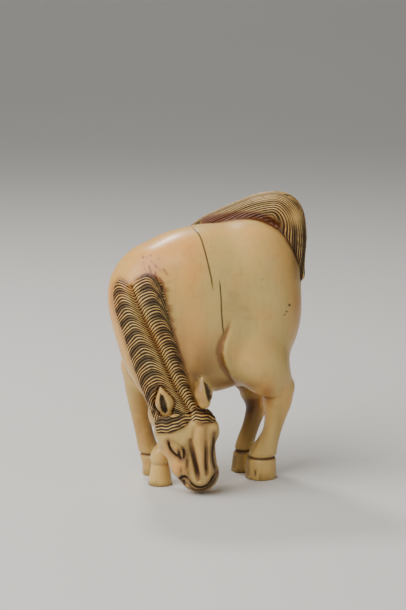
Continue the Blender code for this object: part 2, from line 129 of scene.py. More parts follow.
# Limbs, as stations of (across, rise, depth, radius).
NECK = [
    (-9.32, 42.58, -4.0, 8.4), (-12.5, 37.5, -5.5, 7.8), (-12.08, 30.08, -7.2, 6.6),
    (-9.53, 22.88, -8.6, 6.0), (-5.93, 17.37, -9.6, 5.2), (-3.81, 13.56, -10.4, 4.6),
]
NEAR_THIGH = [
    (11.44, 35.59, 0.8, 8.6), (9.96, 29.03, -3.1, 7.0), (12.61, 23.73, -4.0, 5.9), (15.68, 19.7, -2.6, 3.5),
]
FAR_THIGH = [
    (9.96, 33.9, 5.0, 8.8), (6.99, 27.54, 8.6, 6.4), (9.53, 22.46, 8.8, 4.6), (11.23, 18.64, 8.0, 3.0),
]
NEAR_HIND = [
    (15.68, 19.49, -2.4, 3.45), (15.36, 16.1, -1.9, 3.1), (15.08, 13.56, -1.5, 2.4),
    (14.49, 10.59, -1.0, 2.0), (13.62, 7.84, -0.4, 2.25), (12.69, 5.51, 0.2, 2.9), (12.12, 3.6, 0.4, 3.1),
]
FAR_HIND = [
    (11.02, 18.64, 7.6, 3.5), (11.23, 15.25, 7.0, 2.45), (10.59, 12.71, 6.6, 2.0), (9.85, 10.38, 6.2, 1.85),
    (9.07, 8.05, 5.9, 1.95), (8.54, 5.93, 5.6, 2.1), (8.26, 4.24, 5.6, 2.1),
]
NEAR_FORE = [
    (-6.99, 22.25, -4.0, 4.6), (-6.99, 16.53, -4.4, 2.9), (-7.31, 11.44, -4.7, 2.0),
    (-7.73, 8.47, -4.8, 1.8), (-8.47, 6.57, -4.9, 1.9), (-9.43, 4.98, -5.0, 2.1), (-9.43, 2.97, -5.0, 1.85),
]
FAR_FORE = [
    (-13.77, 24.15, 0.5, 4.2), (-14.41, 18.64, 1.4, 2.6), (-14.03, 14.41, 2.0, 2.05),
    (-13.45, 11.44, 2.4, 1.95), (-12.92, 8.9, 2.7, 2.0), (-12.29, 6.36, 3.0, 2.2),
    (-11.55, 4.03, 3.0, 2.25),
]

# The head: masses in its own frame, turned so that the forehead looks past the eye to the right.
HEAD_TURN = math.radians(27.0)
HEAD = [
    ((-4.24, 11.23, -11.0), (6.9, 4.7, 5.0)),
    ((-3.71, 8.47, -10.6), (6.3, 4.8, 4.8)),
    ((-2.65, 4.87, -11.0), (5.2, 4.6, 5.4)),
    ((-1.17, 1.59, -11.6), (4.4, 3.9, 4.0)),
    ((0.85, 10.91, -11.8), (2.15, 3.0, 3.1)),
]
NOSE = [
    (-1.91, 11.86, -13.0, 2.9), (-0.85, 8.47, -13.4, 2.9), (-0.21, 4.87, -13.2, 2.7),
    (0.0, 1.69, -13.0, 2.8),
]

TAIL = [
    (20.13, 43.43, 2.0, 1.2), (19.28, 47.03, 2.6, 2.1), (18.75, 52.54, 3.4, 2.95),
    (16.84, 56.89, 4.4, 3.85), (12.92, 57.63, 5.4, 3.6), (8.47, 56.57, 6.0, 3.2), (4.24, 55.3, 6.4, 2.7),
    (0.21, 53.81, 6.6, 2.3), (-2.75, 52.54, 6.6, 1.5),
]
TAIL_FAR = [
    (19.28, 46.19, 4.6, 1.8), (17.8, 51.69, 6.2, 3.2), (13.56, 55.3, 8.0, 3.7), (8.69, 54.87, 8.9, 3.4),
    (4.03, 53.6, 9.0, 2.8), (-0.42, 52.33, 8.4, 1.7),
]

# The mane: a raised lobe on each side of its parting.
PARTING = [
    (-15.25, 40.68), (-13.98, 37.29), (-11.97, 32.63), (-9.64, 27.97), (-8.05, 24.15), (-6.14, 19.92),
    (-4.45, 16.95), (-3.18, 14.62),
]
LEFT_LOBE = [
    (-15.25, 40.68), (-16.31, 41.84), (-17.8, 42.48), (-18.86, 41.31), (-19.17, 39.19), (-18.86, 36.44),
    (-18.11, 33.9), (-17.16, 31.36), (-16.31, 28.6), (-14.83, 23.94), (-13.14, 19.28), (-11.44, 14.83),
    (-10.17, 12.08), (-7.84, 11.86), (-3.18, 14.62), (-6.14, 19.92), (-9.64, 27.97), (-13.98, 37.29),
]
RIGHT_LOBE = [
    (-15.25, 40.68), (-13.98, 42.58), (-11.97, 43.33), (-10.17, 42.9), (-8.79, 41.53), (-8.05, 37.71),
    (-7.1, 33.47), (-5.4, 27.97), (-4.03, 23.31), (-2.54, 18.86), (-1.69, 15.68), (-3.18, 14.62),
    (-6.14, 19.92), (-9.64, 27.97), (-13.98, 37.29),
]
MANE_RAISE = 0.85
MANE_EDGE = 2.2
PARTING_WIDTH = 0.8
PARTING_DEPTH = 0.7

# The forelock: two tufts that lie over the forehead.
FORELOCK = [
    [(-3.18, 15.04), (-6.14, 13.77), (-9.53, 13.77), (-10.49, 12.5), (-9.96, 10.38), (-6.99, 10.49),
        (-4.45, 11.65), (-2.75, 13.35)],
    [(-3.18, 15.04), (-1.06, 16.1), (1.48, 15.47), (2.44, 13.98), (2.12, 12.5), (-0.42, 12.5),
        (-2.75, 13.14)],
]
FORELOCK_RAISE = 0.5
FORELOCK_EDGE = 1.0

# How sharply a groove's floor rises to its edges.
GROOVE_POWER = 1.5

# Broad carved lines of the face: stroke, half width, depth, and the share of the depth that is cut.
BROAD_SHARE = 0.6
FACE = {
    "lid": ([(-7.52, 8.37), (-6.78, 6.46), (-5.72, 5.61), (-4.98, 5.08)], 0.45, 0.35),
    "brow": ([(-6.14, 8.26), (-4.66, 7.2), (-3.81, 5.72)], 0.7, 0.3),
    "inner_flute": ([(-2.97, 8.9), (-2.33, 5.93), (-1.69, 2.97), (-1.27, 0.42)], 0.6, 0.4),
    "middle_flute": ([(0.42, 8.47), (0.64, 5.08), (0.42, 1.69)], 0.6, 0.35),
    "outer_flute": ([(1.91, 8.69), (1.69, 6.57), (2.22, 3.6)], 0.5, 0.35),
    "nostril": ([(-5.3, 0.64), (-4.66, 1.17), (-3.92, 0.64), (-3.81, -0.42)], 0.5, 0.4),
    "muzzle": ([(-3.81, -0.42), (-2.12, -0.85), (-0.42, -1.27), (0.64, -0.64), (1.91, 1.06), (2.33, 2.12)],
        0.4, 0.3),
}

# The crease in front of the haunch: the haunch stands up behind it and the flank dips before it.
FLANK = [
    (5.72, 34.32), (4.87, 31.57), (3.81, 29.24), (3.5, 27.12), (4.03, 24.58), (5.51, 22.03), (7.42, 19.49),
]
HAUNCH_RISE = 0.8
HAUNCH_SPREAD = 6.5
FLANK_DIP = 0.4
FLANK_SPREAD = 2.0
CREASE_SOFT = 0.4
# Painted shade along the crease: how dark it is and how far it reaches.
CREASE_SHADE = 0.55
CREASE_REACH = 0.45

EYE = [(-7.42, 8.26), (-6.14, 8.47), (-4.66, 7.2), (-4.03, 5.3), (-5.3, 4.66), (-6.78, 5.72)]
EYE_RAISE = 0.2
EYE_EDGE = 1.5

# Nothing of the face is cut deeper in the view than this. The mane's limit comes nearer further down.
FACE_BACK = -8.5
MANE_BACK = -9.0
MANE_BACK_RISE = 15.0
MANE_BACK_SLOPE = 0.28

# Each hoof is marked off by a groove just above it.
CORONET_WIDTH = 0.55
CORONET_DEPTH = 0.45
CORONET_REACH = 3.9

# How far the tail's hair reaches round it, in its own radii, and the millimetres in one radius.
TAIL_REACH = 1.35
TAIL_RADIUS = 2.2

# Ears: tip, base and the outline of the hollow, in the view.
EARS = [
    ((-9.15, 19.81, -14.8), (-8.05, 15.04, -13.6), [(-9.32, 18.75), (-9.49, 17.37), (-9.32, 15.89),
        (-8.9, 14.83), (-8.16, 14.3), (-7.56, 14.94), (-7.84, 16.74), (-8.47, 18.22)]),
    ((-0.53, 22.03, -13.8), (-0.11, 16.74, -13.6), [(-0.25, 21.29), (0.11, 19.7), (0.38, 18.11),
        (0.89, 16.74), (1.48, 17.8), (1.31, 19.17), (0.64, 20.55)]),
]
EAR_RADIUS = 1.9
EAR_CLEAR = 1.3
EAR_BASE_SHARE = 0.7
EAR_TIP_RADIUS = 0.35
EAR_WIDEST = 0.6
EAR_HOLLOW_EDGE = 0.45
EAR_HOLLOW_DEPTH = 0.75

# The mane's strands, down the parting: share of its length, reach to the edge, lift and fall.
HAIR = {
    "left": [(0.0, -3.9, 2.4, 3.6), (0.25, -5.2, 3.0, 4.4), (0.55, -6.2, 3.3, 5.0), (1.0, -7.2, 3.6, 6.0)],
    "right": [(0.0, 6.4, 6.5, 7.0), (0.35, 5.2, 6.2, 6.8), (0.6, 4.3, 5.6, 6.2), (0.85, 3.3, 4.6, 5.2),
        (1.0, 2.2, 3.2, 3.6)],
}
HAIR_BEND = {"left": 4.0, "right": 2.5}
HAIR_STEPS = 320
LOCK_STRANDS = 5.0

# How far the parting is drawn on above and below, in steps of its own, and a strand past its edge.
PARTING_ABOVE = 2.0
PARTING_BELOW = 0.8
STRAND_OVER = 1.25

# How the strands waver, as strands and turns a millimetre, how far outside its outline hair is counted,
# and the mark of a place with no hair.
MANE_WAVER = ((0.13, 1.7, 0.8), (0.1, 0.0, 2.3))
TUFT_WAVER = 0.12
TUFT_TURNS = 2.6
TAIL_WAVER = (0.16, 0.9, 0.7)
HAIR_MARGIN = -1.0
NO_HAIR = -2.0

# How far inside its outline hair is fully cut, and how much deeper the cut between two locks is.
HAIR_FADE = 0.35
HAIR_START = -0.1
LOCK_CUT = 0.7
LOCK_GAP = 0.4
# Brown just outside the hair's outline: stain along its edge, and painted shade below the raised hair.
FRINGE_REACH = 0.6
FRINGE_SHADE = 0.5
TAIL_INSIDE = -0.3

# The uppermost strand of each half of the forelock.
TUFT_TOPS = [
    [(-10.38, 13.03), (-9.53, 13.03), (-8.05, 13.14), (-6.57, 13.45), (-4.87, 14.19), (-3.18, 14.62)],
    [(-3.18, 14.62), (-1.91, 15.15), (-0.42, 15.15), (1.06, 14.83), (2.54, 14.09)],
]

# The tail's outer edge in the view, how softly its strands turn over the top, how close they lie there.
TAIL_OUTER = [
    (-3.6, 53.81), (-0.42, 56.36), (3.18, 58.05), (7.42, 59.75), (11.23, 60.95), (14.19, 61.23),
    (16.31, 60.81), (18.22, 59.53), (19.92, 57.52), (21.08, 54.87), (21.55, 50.85), (21.5, 46.19),
    (20.55, 42.16),
]
TAIL_TURN = 0.8
TAIL_TOP = 0.6

# Finer lines of the face: stroke, half width and depth of the cut, how dark and how broad the stain is.
FINE_FACE = {
    "lid": ([(-7.63, 8.79), (-7.46, 8.05), (-7.1, 6.99), (-6.46, 6.19), (-5.83, 5.72), (-5.3, 5.55)],
        0.24, 0.22, 1.0, 0.24),
    "lid_corner": ([(-6.06, 5.85), (-5.51, 5.59), (-5.19, 5.3)], 0.36, 0.2, 0.95, 0.31),
    "inner_hook": ([(-5.47, 6.78), (-5.3, 5.93), (-5.17, 5.3), (-4.87, 4.77)], 0.25, 0.2, 1.0, 0.28),
    "outer_hook": ([(-4.7, 7.31), (-4.32, 6.57), (-4.32, 5.72), (-4.45, 4.87)], 0.24, 0.2, 1.0, 0.28),
    "under_brow": ([(-3.81, 7.63), (-3.43, 6.57), (-3.39, 5.3), (-3.6, 3.81), (-3.6, 2.54)],
        0.5, 0.1, 0.45, 0.4),
    "inner_flute": ([(-3.01, 8.9), (-2.8, 7.2), (-2.33, 5.3), (-1.8, 3.18), (-1.27, 0.53)],
        0.7, 0.3, 0.5, 0.55),
    "inner_dark": ([(-2.67, 6.99), (-2.25, 5.08), (-1.78, 3.18), (-1.36, 1.06)], 0.35, 0.1, 0.95, 0.3),
    "middle_flute": ([(0.3, 8.9), (0.38, 6.36), (0.3, 4.03), (0.47, 1.69)], 0.6, 0.26, 0.5, 0.45),
    "inner_edge": ([(-2.97, 8.47), (-2.75, 6.57), (-2.42, 4.66)], 0.3, 0.04, 0.6, 0.22),
    "inner_foot": ([(-1.61, 3.39), (-1.27, 2.12), (-1.06, 0.95)], 0.3, 0.04, 0.7, 0.3),
    "brow_streak": ([(-2.33, 11.65), (-2.54, 10.17), (-2.63, 8.9)], 0.3, 0.02, 0.35, 0.3),
    # A painted shadow down the upper forehead.
    "far_painted_shadow": ([(0.21, 11.86), (0.13, 10.17), (0.21, 8.9)], 0.3, 0.02, 0.35, 0.3),
    "middle_dark": ([(0.34, 7.2), (0.21, 4.45), (0.47, 1.91)], 0.3, 0.1, 0.9, 0.25),
    "outer_flute": ([(2.01, 10.38), (1.78, 8.26), (1.57, 5.93), (1.91, 3.6), (2.46, 1.91)],
        0.26, 0.2, 0.9, 0.28),
    "outer_second": ([(1.23, 8.47), (1.19, 5.93), (1.44, 3.6)], 0.3, 0.1, 0.4, 0.28),
    "cheek_mark": ([(-3.9, 5.3), (-3.73, 4.03), (-3.81, 2.75)], 0.34, 0.06, 0.8, 0.24),
    "low_mark": ([(-4.98, 2.97), (-4.98, 1.8)], 0.36, 0.04, 0.55, 0.26),
    "cheek_low": ([(-3.6, 2.54), (-3.31, 1.27)], 0.3, 0.04, 0.5, 0.26),
    "nostril": ([(-4.77, -0.95), (-5.17, -0.32), (-5.25, 0.42), (-4.87, 0.97), (-4.13, 1.1), (-3.39, 0.64)],
        0.36, 0.34, 1.0, 0.31),
    "nostril_pit": ([(-4.66, 0.42), (-4.41, -0.21), (-4.45, -0.76)], 0.5, 0.4, 1.0, 0.43),
    "muzzle": ([(-3.71, 0.89), (-3.18, 0.3), (-2.54, -0.42), (-1.69, -1.02), (-0.74, -1.12), (0.21, -0.81),
        (1.06, 0.0), (1.69, 1.06), (2.5, 2.16)], 0.28, 0.26, 1.0, 0.28),
    "mouth": ([(-3.26, -0.64), (-2.67, -1.44), (-1.69, -1.82), (-0.42, -1.74), (0.64, -1.23), (1.48, -0.42),
        (2.12, 0.55), (2.67, 1.78)], 0.27, 0.28, 0.9, 0.28),
    "chin_mark": ([(-3.92, -1.38), (-3.28, -2.12)], 0.36, 0.12, 0.8, 0.3),
}

# Raised ridges of the face between its flutes: stroke, half width, height.
FACE_RIDGES = [
    ([(-1.27, 10.59), (-1.06, 7.84), (-0.76, 4.66), (-0.42, 0.85)], 0.95, 0.22),
    ([(1.06, 8.9), (0.97, 5.93), (1.14, 2.54)], 0.6, 0.14),
    ([(-4.32, 8.47), (-3.52, 9.24)], 1.1, 0.2),
    ([(-6.14, 5.17), (-5.08, 4.36), (-4.03, 4.45)], 0.7, 0.14),
    ([(-6.69, 7.84), (-5.93, 7.29), (-5.51, 6.36)], 0.7, 0.16),
    ([(-2.75, -0.08), (-1.48, -0.34), (0.0, -0.08)], 0.7, 0.14),
]
# The share of a stroke over which it fades at each end, and what is left of it there.
STROKE_TAPER = 0.16
STROKE_END = 0.35

# How squarely the skin has to face the eye for full hair, and how far the brown spreads round a line of the
# face: stain, and painted shade in the flutes.
EDGE_FACING = 0.35
FACE_HALO = 0.5
HALO_SHARE = 0.8

# Marks on the hooves: stroke, half width, depth, darkness.
HOOF_MARKS = {
    "near_hind_smudge": ([(9.22, 3.6), (9.28, 2.12), (9.43, 0.64)], 0.6, 0.02, 0.42),
    "near_hind_mark": ([(10.81, 1.48), (10.85, 0.53)], 0.42, 0.06, 0.75),
    "far_hind_smudge": ([(6.36, 4.03), (6.25, 1.91)], 0.7, 0.02, 0.45),
}

# Two age cracks, closed with old dirt.
CRACKS = [
    [(-3.18, 54.03), (-2.33, 53.18), (-1.38, 52.12), (-0.64, 50.53), (-0.11, 48.73), (0.42, 46.72),
        (0.97, 44.49), (1.44, 42.16), (1.76, 39.83)],
    [(2.86, 42.58), (3.09, 41.53), (3.26, 39.83), (3.39, 37.29), (3.6, 33.9), (3.92, 30.51)],
]
CRACK_SHADE = 0.9
CRACK_ENDS = 0.12

# Nothing of the flank lies nearer in the view than this.
FLANK_FRONT = -14.5

# Small pits: middle, radius, depth, and how dark they are.
PIT_SHADE = 1.4
PITS = [
    ((17.8, 37.08), 0.42, 0.12), ((17.16, 35.7), 0.3, 0.1), ((16.74, 35.06), 0.26, 0.08),
    ((11.97, 42.37), 0.22, 0.06), ((10.81, 1.06), 0.3, 0.08),
]

# Soft clouds of colour in the view: centre, reach across and up, strength.
HONEY_CLOUDS = [
    ((-11.23, 47.03), (8.0, 6.5), 0.95), ((-19.7, 38.14), (2.6, 12.0), 1.0),
    ((-18.43, 27.54), (2.2, 8.0), 0.9), ((-4.03, 44.92), (3.6, 10.0), 0.7),
    ((-2.75, 31.78), (3.2, 10.0), 0.65), ((-8.47, 51.27), (8.0, 2.6), 0.75),
    ((6.36, 53.39), (8.0, 1.6), 0.55), ((17.16, 46.19), (2.6, 7.0), 0.45),
    ((19.7, 31.78), (2.2, 10.0), 0.6), ((18.01, 16.95), (3.0, 6.0), 0.5),
    ((12.71, 16.95), (2.4, 6.0), 0.75), ((-13.77, 8.47), (3.0, 8.0), 0.45), ((-8.47, 5.3), (3.0, 3.0), 0.5),
    ((-6.14, 2.97), (2.6, 3.0), 0.6), ((-0.85, 8.47), (2.4, 5.0), 0.35), ((-9.11, 1.06), (2.6, 3.0), 0.4),
    ((-8.9, 15.89), (2.4, 4.0), 0.3), ((-0.64, 16.95), (1.4, 3.0), 0.5),
]
# Brown clouds: mostly painted shade under the belly, on the inner sides of the legs and at the haunch's back
# edge, with some stain by the mane's edge.
BROWN_SHADE_AND_STAIN_CLOUDS = [
    ((13.14, 17.8), (1.6, 2.6), 0.6), ((4.87, 20.55), (4.0, 1.4), 0.7), ((9.53, 20.13), (3.0, 1.2), 0.5),
    ((0.64, 24.15), (3.2, 5.0), 0.5), ((-1.27, 20.55), (2.0, 3.6), 0.7), ((2.75, 20.34), (3.2, 2.2), 0.6),
    ((-9.53, 15.47), (1.0, 3.0), 0.6), ((-10.17, 6.99), (2.4, 1.0), 0.45),
    ((19.49, 38.14), (1.0, 8.0), 0.25), ((19.28, 46.19), (1.2, 4.0), 0.6), ((12.5, 11.65), (0.9, 5.0), 0.5),
    ((-4.66, 27.12), (1.4, 6.0), 0.45), ((15.89, 11.02), (0.9, 6.0), 0.35),
    ((-13.35, 16.95), (1.0, 6.0), 0.4),
]
SPECK_CLOUDS = [
    ((-11.02, 44.28), (2.6, 1.4), 0.34), ((-12.29, 45.97), (1.6, 1.4), 0.22),
    ((-9.96, 45.55), (1.8, 1.4), 0.2), ((-1.06, 27.54), (2.0, 5.0), 0.2),
]

# Red-brown strokes where stain has crept into the pores: stroke, reach, strength.
SPECK_STROKES = [
    ([(-13.03, 47.35), (-12.61, 46.61)], 0.26, 0.81),
    ([(-12.2, 47.25), (-11.86, 46.61)], 0.23, 0.61),
    ([(-11.44, 47.63), (-11.02, 47.12)], 0.23, 0.68),
    ([(-12.84, 46.1), (-12.42, 45.34)], 0.23, 0.61),
    ([(-11.23, 46.4), (-10.68, 45.76)], 0.26, 0.61),
    ([(-10.59, 45.68), (-9.7, 44.58)], 0.31, 0.81),
    ([(-11.69, 45.42), (-11.36, 44.62), (-11.02, 43.43)], 0.26, 1.0),
    ([(-8.77, 44.7), (-8.26, 44.15), (-7.63, 43.14)], 0.26, 0.74),
    ([(-12.5, 45.13), (-12.33, 44.07)], 0.31, 0.54),
    ([(-9.66, 46.74), (-9.49, 46.44)], 0.29, 0.68),
    ([(-10.34, 44.28), (-9.96, 42.58)], 0.26, 1.0),
    ([(-9.53, 44.83), (-9.03, 44.19)], 0.23, 0.54),
    ([(-9.53, 43.01), (-8.58, 41.53)], 0.26, 0.81),
    ([(-9.32, 41.53), (-8.35, 40.04)], 0.26, 0.68),
]

# Brown along edges: stain by the mane's edges and in fine scratches, and painted shade under the forelock's
# tufts, under the tail and in the flank crease: stroke, reach, strength.
BROWN_STAIN_AND_SHADE_STROKES = [
    ([(-13.77, 42.27), (-12.92, 43.11), (-11.86, 43.43), (-10.59, 43.14), (-9.43, 42.25)], 0.42, 1.0),
    ([(-18.86, 40.68), (-18.31, 41.74), (-17.58, 42.29), (-16.53, 41.53), (-15.47, 40.47)], 0.22, 0.55),
    # Painted shade under the tail, along the rump.
    ([(16.53, 51.69), (17.46, 50.42), (18.35, 49.03), (19.28, 47.03), (20.0, 44.92)], 0.4, 0.9),
    ([(20.34, 43.64), (20.47, 41.95)], 0.5, 0.95),
    ([(3.18, 44.07), (4.87, 39.62), (6.99, 34.75)], 0.14, 0.3),
    ([(6.14, 35.81), (7.84, 36.23), (9.53, 36.33)], 0.14, 0.5),
    ([(4.45, 46.19), (6.57, 40.89)], 0.12, 0.25),
    # Painted shade under the forelock's two tufts.
    ([(-4.45, 13.35), (-3.18, 12.58)], 0.5, 0.9),
    ([(-1.91, 12.5), (0.21, 12.08)], 0.4, 0.8),
    # Painted shade in the flank crease.
    ([(5.08, 31.78), (4.15, 29.66), (3.73, 27.12), (4.24, 24.58), (5.72, 22.03)], 0.34, 0.75),
    ([(13.77, 44.92), (12.08, 38.98)], 0.12, 0.12),
]

# The smooth red-brown band of the tail next to the rump, its own red-brown with painted shade in the recess
# under the tail's lock, how brown the tail is, and where its hair thins.
TAIL_BAND = [
    (0.21, 54.96), (2.75, 55.42), (5.72, 55.85), (8.69, 55.97), (11.23, 55.68), (13.35, 55.0),
    (15.04, 53.81),
]
TAIL_BAND_REACH = 1.15
TAIL_BROWN = 0.12
TAIL_BAND_SHADE = 1.0
TAIL_BAND_WORN = 0.85
TAIL_THIN = 0.35
TAIL_THIN_FROM = 52.5
TAIL_THIN_TO = 57.0

# How far the forelock's strands win over the mane's, and how far above the poll the fine skin starts.
TUFT_OVER = 2.0
FACE_TOP = 7.0

# How near a strand may come to an ear, in the ear's own radii.
EAR_BARE = 1.1

# How far beside the parting the mane's strands stay pale.
PARTING_PALE = 1.5
PARTING_THIN = 0.8

# Where the tail's hair is pale: rubbed pale at its bend, and a painted highlight along its top: centre,
# reach, strength.
WORN_AND_HIGHLIGHT_CLOUDS = [((19.28, 55.72), (1.6, 1.8), 1.0), ((12.71, 59.96), (3.5, 1.0), 0.5)]

# How dark the hollow of an ear is, how far the stain reaches over its edge, and how softly it ends there.
EAR_SHADE = 1.0
EAR_STAIN_OVER = 0.12
EAR_STAIN_EDGE = 0.3

# How often the skin is softened to find its hollows.
HOLLOW_ROUNDS = 60

# How dark the groove above each hoof is, and the share of its width that is stained.
CORONET_STAIN = 0.7
CORONET_SHADE = {"near_fore": 0.3, "far_fore": 0.75, "near_hind": 0.85, "far_hind": 0.8}

# Inner sides of the far legs and the belly, browner than the rest, mostly as painted shade with some stain,
# and how far back they start.
FAR_SHADE_AND_STAIN_CLOUDS = [
    ((9.53, 13.14), (4.4, 9.0), 1.0), ((7.42, 4.66), (3.0, 4.0), 0.85), ((7.42, 1.27), (3.0, 2.6), 0.6),
    ((6.57, 19.92), (3.2, 2.0), 1.0), ((-11.65, 11.02), (2.4, 7.0), 0.75),
    ((-13.77, 11.65), (2.8, 9.0), 0.6), ((-12.08, 3.81), (2.2, 2.0), 0.5),
]
FAR_DEEP = -1.6

# Where the haunch is smoothed once more, over how wide an edge and how often.
HAUNCH_ZONE = [
    (4.45, 38.14), (8.69, 41.53), (20.13, 41.53), (21.4, 31.78), (20.13, 22.88), (17.58, 18.64),
    (12.5, 18.22), (7.42, 22.03), (4.45, 28.6),
]
HAUNCH_EDGE = 2.5
HAUNCH_ROUNDS = 90

# Where fine marks need a fine skin: middle and reach.
MARKED_ZONES = [((-10.59, 44.7), (3.6, 3.4)), ((17.37, 36.02), (1.3, 1.6))]

# A mass that fills the throat between the neck and the cheek: centre, half sizes.
THROAT = ((-8.9, 14.41, -9.2), (3.1, 3.4, 4.0))

# From the horse to the eye of the carver's view, and to the right across it.
EYE_LINE = np.array((-math.sin(VIEW_TURN) * math.cos(VIEW_RISE), -math.cos(VIEW_TURN) * math.cos(VIEW_RISE),
                     math.sin(VIEW_RISE)))
RIGHT_LINE = Vector((math.cos(VIEW_TURN), -math.sin(VIEW_TURN), 0.0))
UP_LINE = Vector((0.0, 0.0, 1.0))

# The middle of the camera's view, and the floor sheet in metres.
VIEW_MIDDLE = (-0.42, 37.08, 0.0)
FLOOR_LENGTH = 3.6
FLOOR_FRONT = 1.9
FLOOR_FLAT = 0.5
FLOOR_CURVE = 0.35
FLOOR_WIDTH = 3.2
FLOOR_ROWS = 48
FLOOR_ROUGHNESS = 0.85

# Lamps: metres to the right, towards the eye and up from the middle of the view, and size.
LAMPS = {"key": (-0.25, 0.2, 0.3, 0.5), "fill": (0.32, 0.22, 0.06, 0.3), "rim": (-0.08, -0.2, 0.32, 0.05)}
ROOM_COLOUR = (0.93, 0.95, 1.0, 1.0)
CAMERA_NEAR = 0.01


def colour(hex_code):
    """A colour written as on the web, turned into the linear values that the shaders take."""
    parts = [int(hex_code[i:i + 2], 16) / 255 for i in (0, 2, 4)]
    return tuple(part / 12.92 if part <= 0.04045 else ((part + 0.055) / 1.055) ** 2.4 for part in parts)


def fine_size(name, description, millimetres):
    """A property for a small length."""
    return bpy.props.FloatProperty(name=name, description=description, default=millimetres * MM,
                                   unit="LENGTH", precision=5)


def swatch(name, description, hex_code):
    """A property for a colour."""
    return bpy.props.FloatVectorProperty(name=name, description=description, default=colour(hex_code), size=3,
                                         subtype="COLOR")


def power(name, description, watts):
    """A property for a lamp's power."""
    return bpy.props.FloatProperty(name=name, description=description, default=watts, unit="POWER")


class HorseSizes(bpy.types.PropertyGroup):
    """Sizes of the skin and of everything cut into it."""
    skin_voxel: fine_size("Skin voxel", "How finely the masses are melted into one skin", 0.21)
    hair_pitch: fine_size("Hair pitch", "Distance from one strand of the mane to the next", 0.62)
    hair_depth: fine_size("Hair depth", "Depth of the cut between two strands", 0.15)
    forelock_pitch: fine_size("Forelock pitch", "Distance from one strand of the forelock to the next", 0.66)
    tail_pitch: fine_size("Tail pitch", "Distance from one strand of the tail to the next", 0.54)
    face_depth: bpy.props.FloatProperty(
        name="Face depth", description="Share of the full depth at which the face is cut",
        default=1.0, subtype="FACTOR", min=0.0, max=2.0)
    triangles: bpy.props.IntProperty(
        name="Triangles", description="How many triangles the finished skin keeps", default=194000)


class HorseColours(bpy.types.PropertyGroup):
    """Colours of the ivory and of what has gathered in it."""
    # Cream is also laid on ridges as a painted highlight, and amber, russet and stain also carry painted
    # shade.
    cream: swatch("Cream", "Pale ivory where hands have rubbed it least yellow", "CBAE68")
    honey: swatch("Honey", "Ivory warmed by age and handling", "EA9F4C")
    amber: swatch("Amber", "Stain that lingers in hollows and round the carving", "6E3A14")
    russet: swatch("Russet", "Smooth red-brown band of the tail beside the rump", "6B3A1C")
    stain: swatch("Stain", "Dark stain rubbed into the cut lines", "1E0E04")
    crack: swatch("Crack", "Old dirt in the two age cracks", "4A3618")
    speck: swatch("Speck", "Red-brown dashes by the top of the mane", "7C4030")


class StageSettings(bpy.types.PropertyGroup):
    """The floor, the lights and the camera."""
    floor_colour: swatch("Floor", "Colour of the plain floor", "D2CFC8")
    key_power: power("Key light", "Power of the large light at the upper left", 4.1)
    fill_power: power("Fill light", "Power of the weak light at the right", 0.2)
    rim_power: power("Rim light", "Power of the light above and behind", 0.6)
    room_light: bpy.props.FloatProperty(
        name="Room light", description="Strength of the light from all round", default=0.13)
    lens: bpy.props.FloatProperty(
        name="Lens", description="Focal length of the camera", default=139.3 * MM, unit="CAMERA")
    distance: bpy.props.FloatProperty(
        name="Camera distance", description="From the camera to the middle of the view",
        default=0.5, unit="LENGTH")


def seen(place):
    """The point of the horse's own frame, in metres, that the view shows at this place."""
    across, rise, deep = place
    up = (rise - math.sin(VIEW_RISE) * deep) / math.cos(VIEW_RISE)
    along = math.cos(VIEW_TURN) * across + math.sin(VIEW_TURN) * deep
    side = -math.sin(VIEW_TURN) * across + math.cos(VIEW_TURN) * deep
    return Vector((along + VIEW_POINT[0], side + VIEW_POINT[1], up)) * MM


def picture(points):
    """How the carver's view sees points of the horse: across and rise, then depth, in millimetres."""
    x, y, z = (points / MM).T
    x, y = x - VIEW_POINT[0], y - VIEW_POINT[1]
    across = math.cos(VIEW_TURN) * x - math.sin(VIEW_TURN) * y
    deep = math.sin(VIEW_TURN) * x + math.cos(VIEW_TURN) * y
    rise = math.cos(VIEW_RISE) * z + math.sin(VIEW_RISE) * deep
    return np.column_stack((across, rise)), deep


def in_sight(points, normals):
    """Which points the carver's view can see, by the nearest depth in each small cell of the view."""
    plane, deep = picture(points)
    cells = tuple((np.floor(plane / SIGHT_CELL).astype(int) + SIGHT_MIDDLE).T)
    nearest = np.full((SIGHT_CELLS, SIGHT_CELLS), np.inf)
    np.minimum.at(nearest, cells, deep)
    return (normals @ EYE_LINE > SIGHT_FACING) & (deep < nearest[cells] + SIGHT_DEPTH)


def distance_to(plane, stroke):
    """Distance of each place to a stroke, its side of the stroke, and how far along it lies."""
    stroke = np.array(stroke, float)
    lengths = np.hypot(*(stroke[1:] - stroke[:-1]).T)
    best = np.full(len(plane), np.inf)
    side = np.ones(len(plane))
    along = np.zeros(len(plane))
    walked = 0.0
    for start, end, length in zip(stroke[:-1], stroke[1:], lengths):
        step = (end - start) / length
        offset = plane - start
        share = np.clip(offset @ step, 0.0, length)
        away = np.hypot(*(offset - share[:, None] * step).T)
        closer = away < best
        best[closer] = away[closer]
        side[closer] = np.sign(step[0] * offset[closer, 1] - step[1] * offset[closer, 0])
        along[closer] = walked + share[closer]
        walked += length
    return best, side, along / walked


def inside(plane, outline):
    """Which places lie inside a closed outline."""
    outline = np.array(outline, float)
    within = np.zeros(len(plane), bool)
    for (x1, y1), (x2, y2) in zip(outline, np.roll(outline, -1, axis=0)):
        spans = (plane[:, 1] < y1) != (plane[:, 1] < y2)
        if y1 != y2:
            cross = (x2 - x1) * (plane[:, 1] - y1) / (y2 - y1) + x1
            within ^= spans & (plane[:, 0] < cross)
    return within


def depth_inside(plane, outline):
    """How far inside an outline each place lies; less than nothing outside it."""
    away, _, _ = distance_to(plane, [*outline, outline[0]])
    return np.where(inside(plane, outline), away, -away)


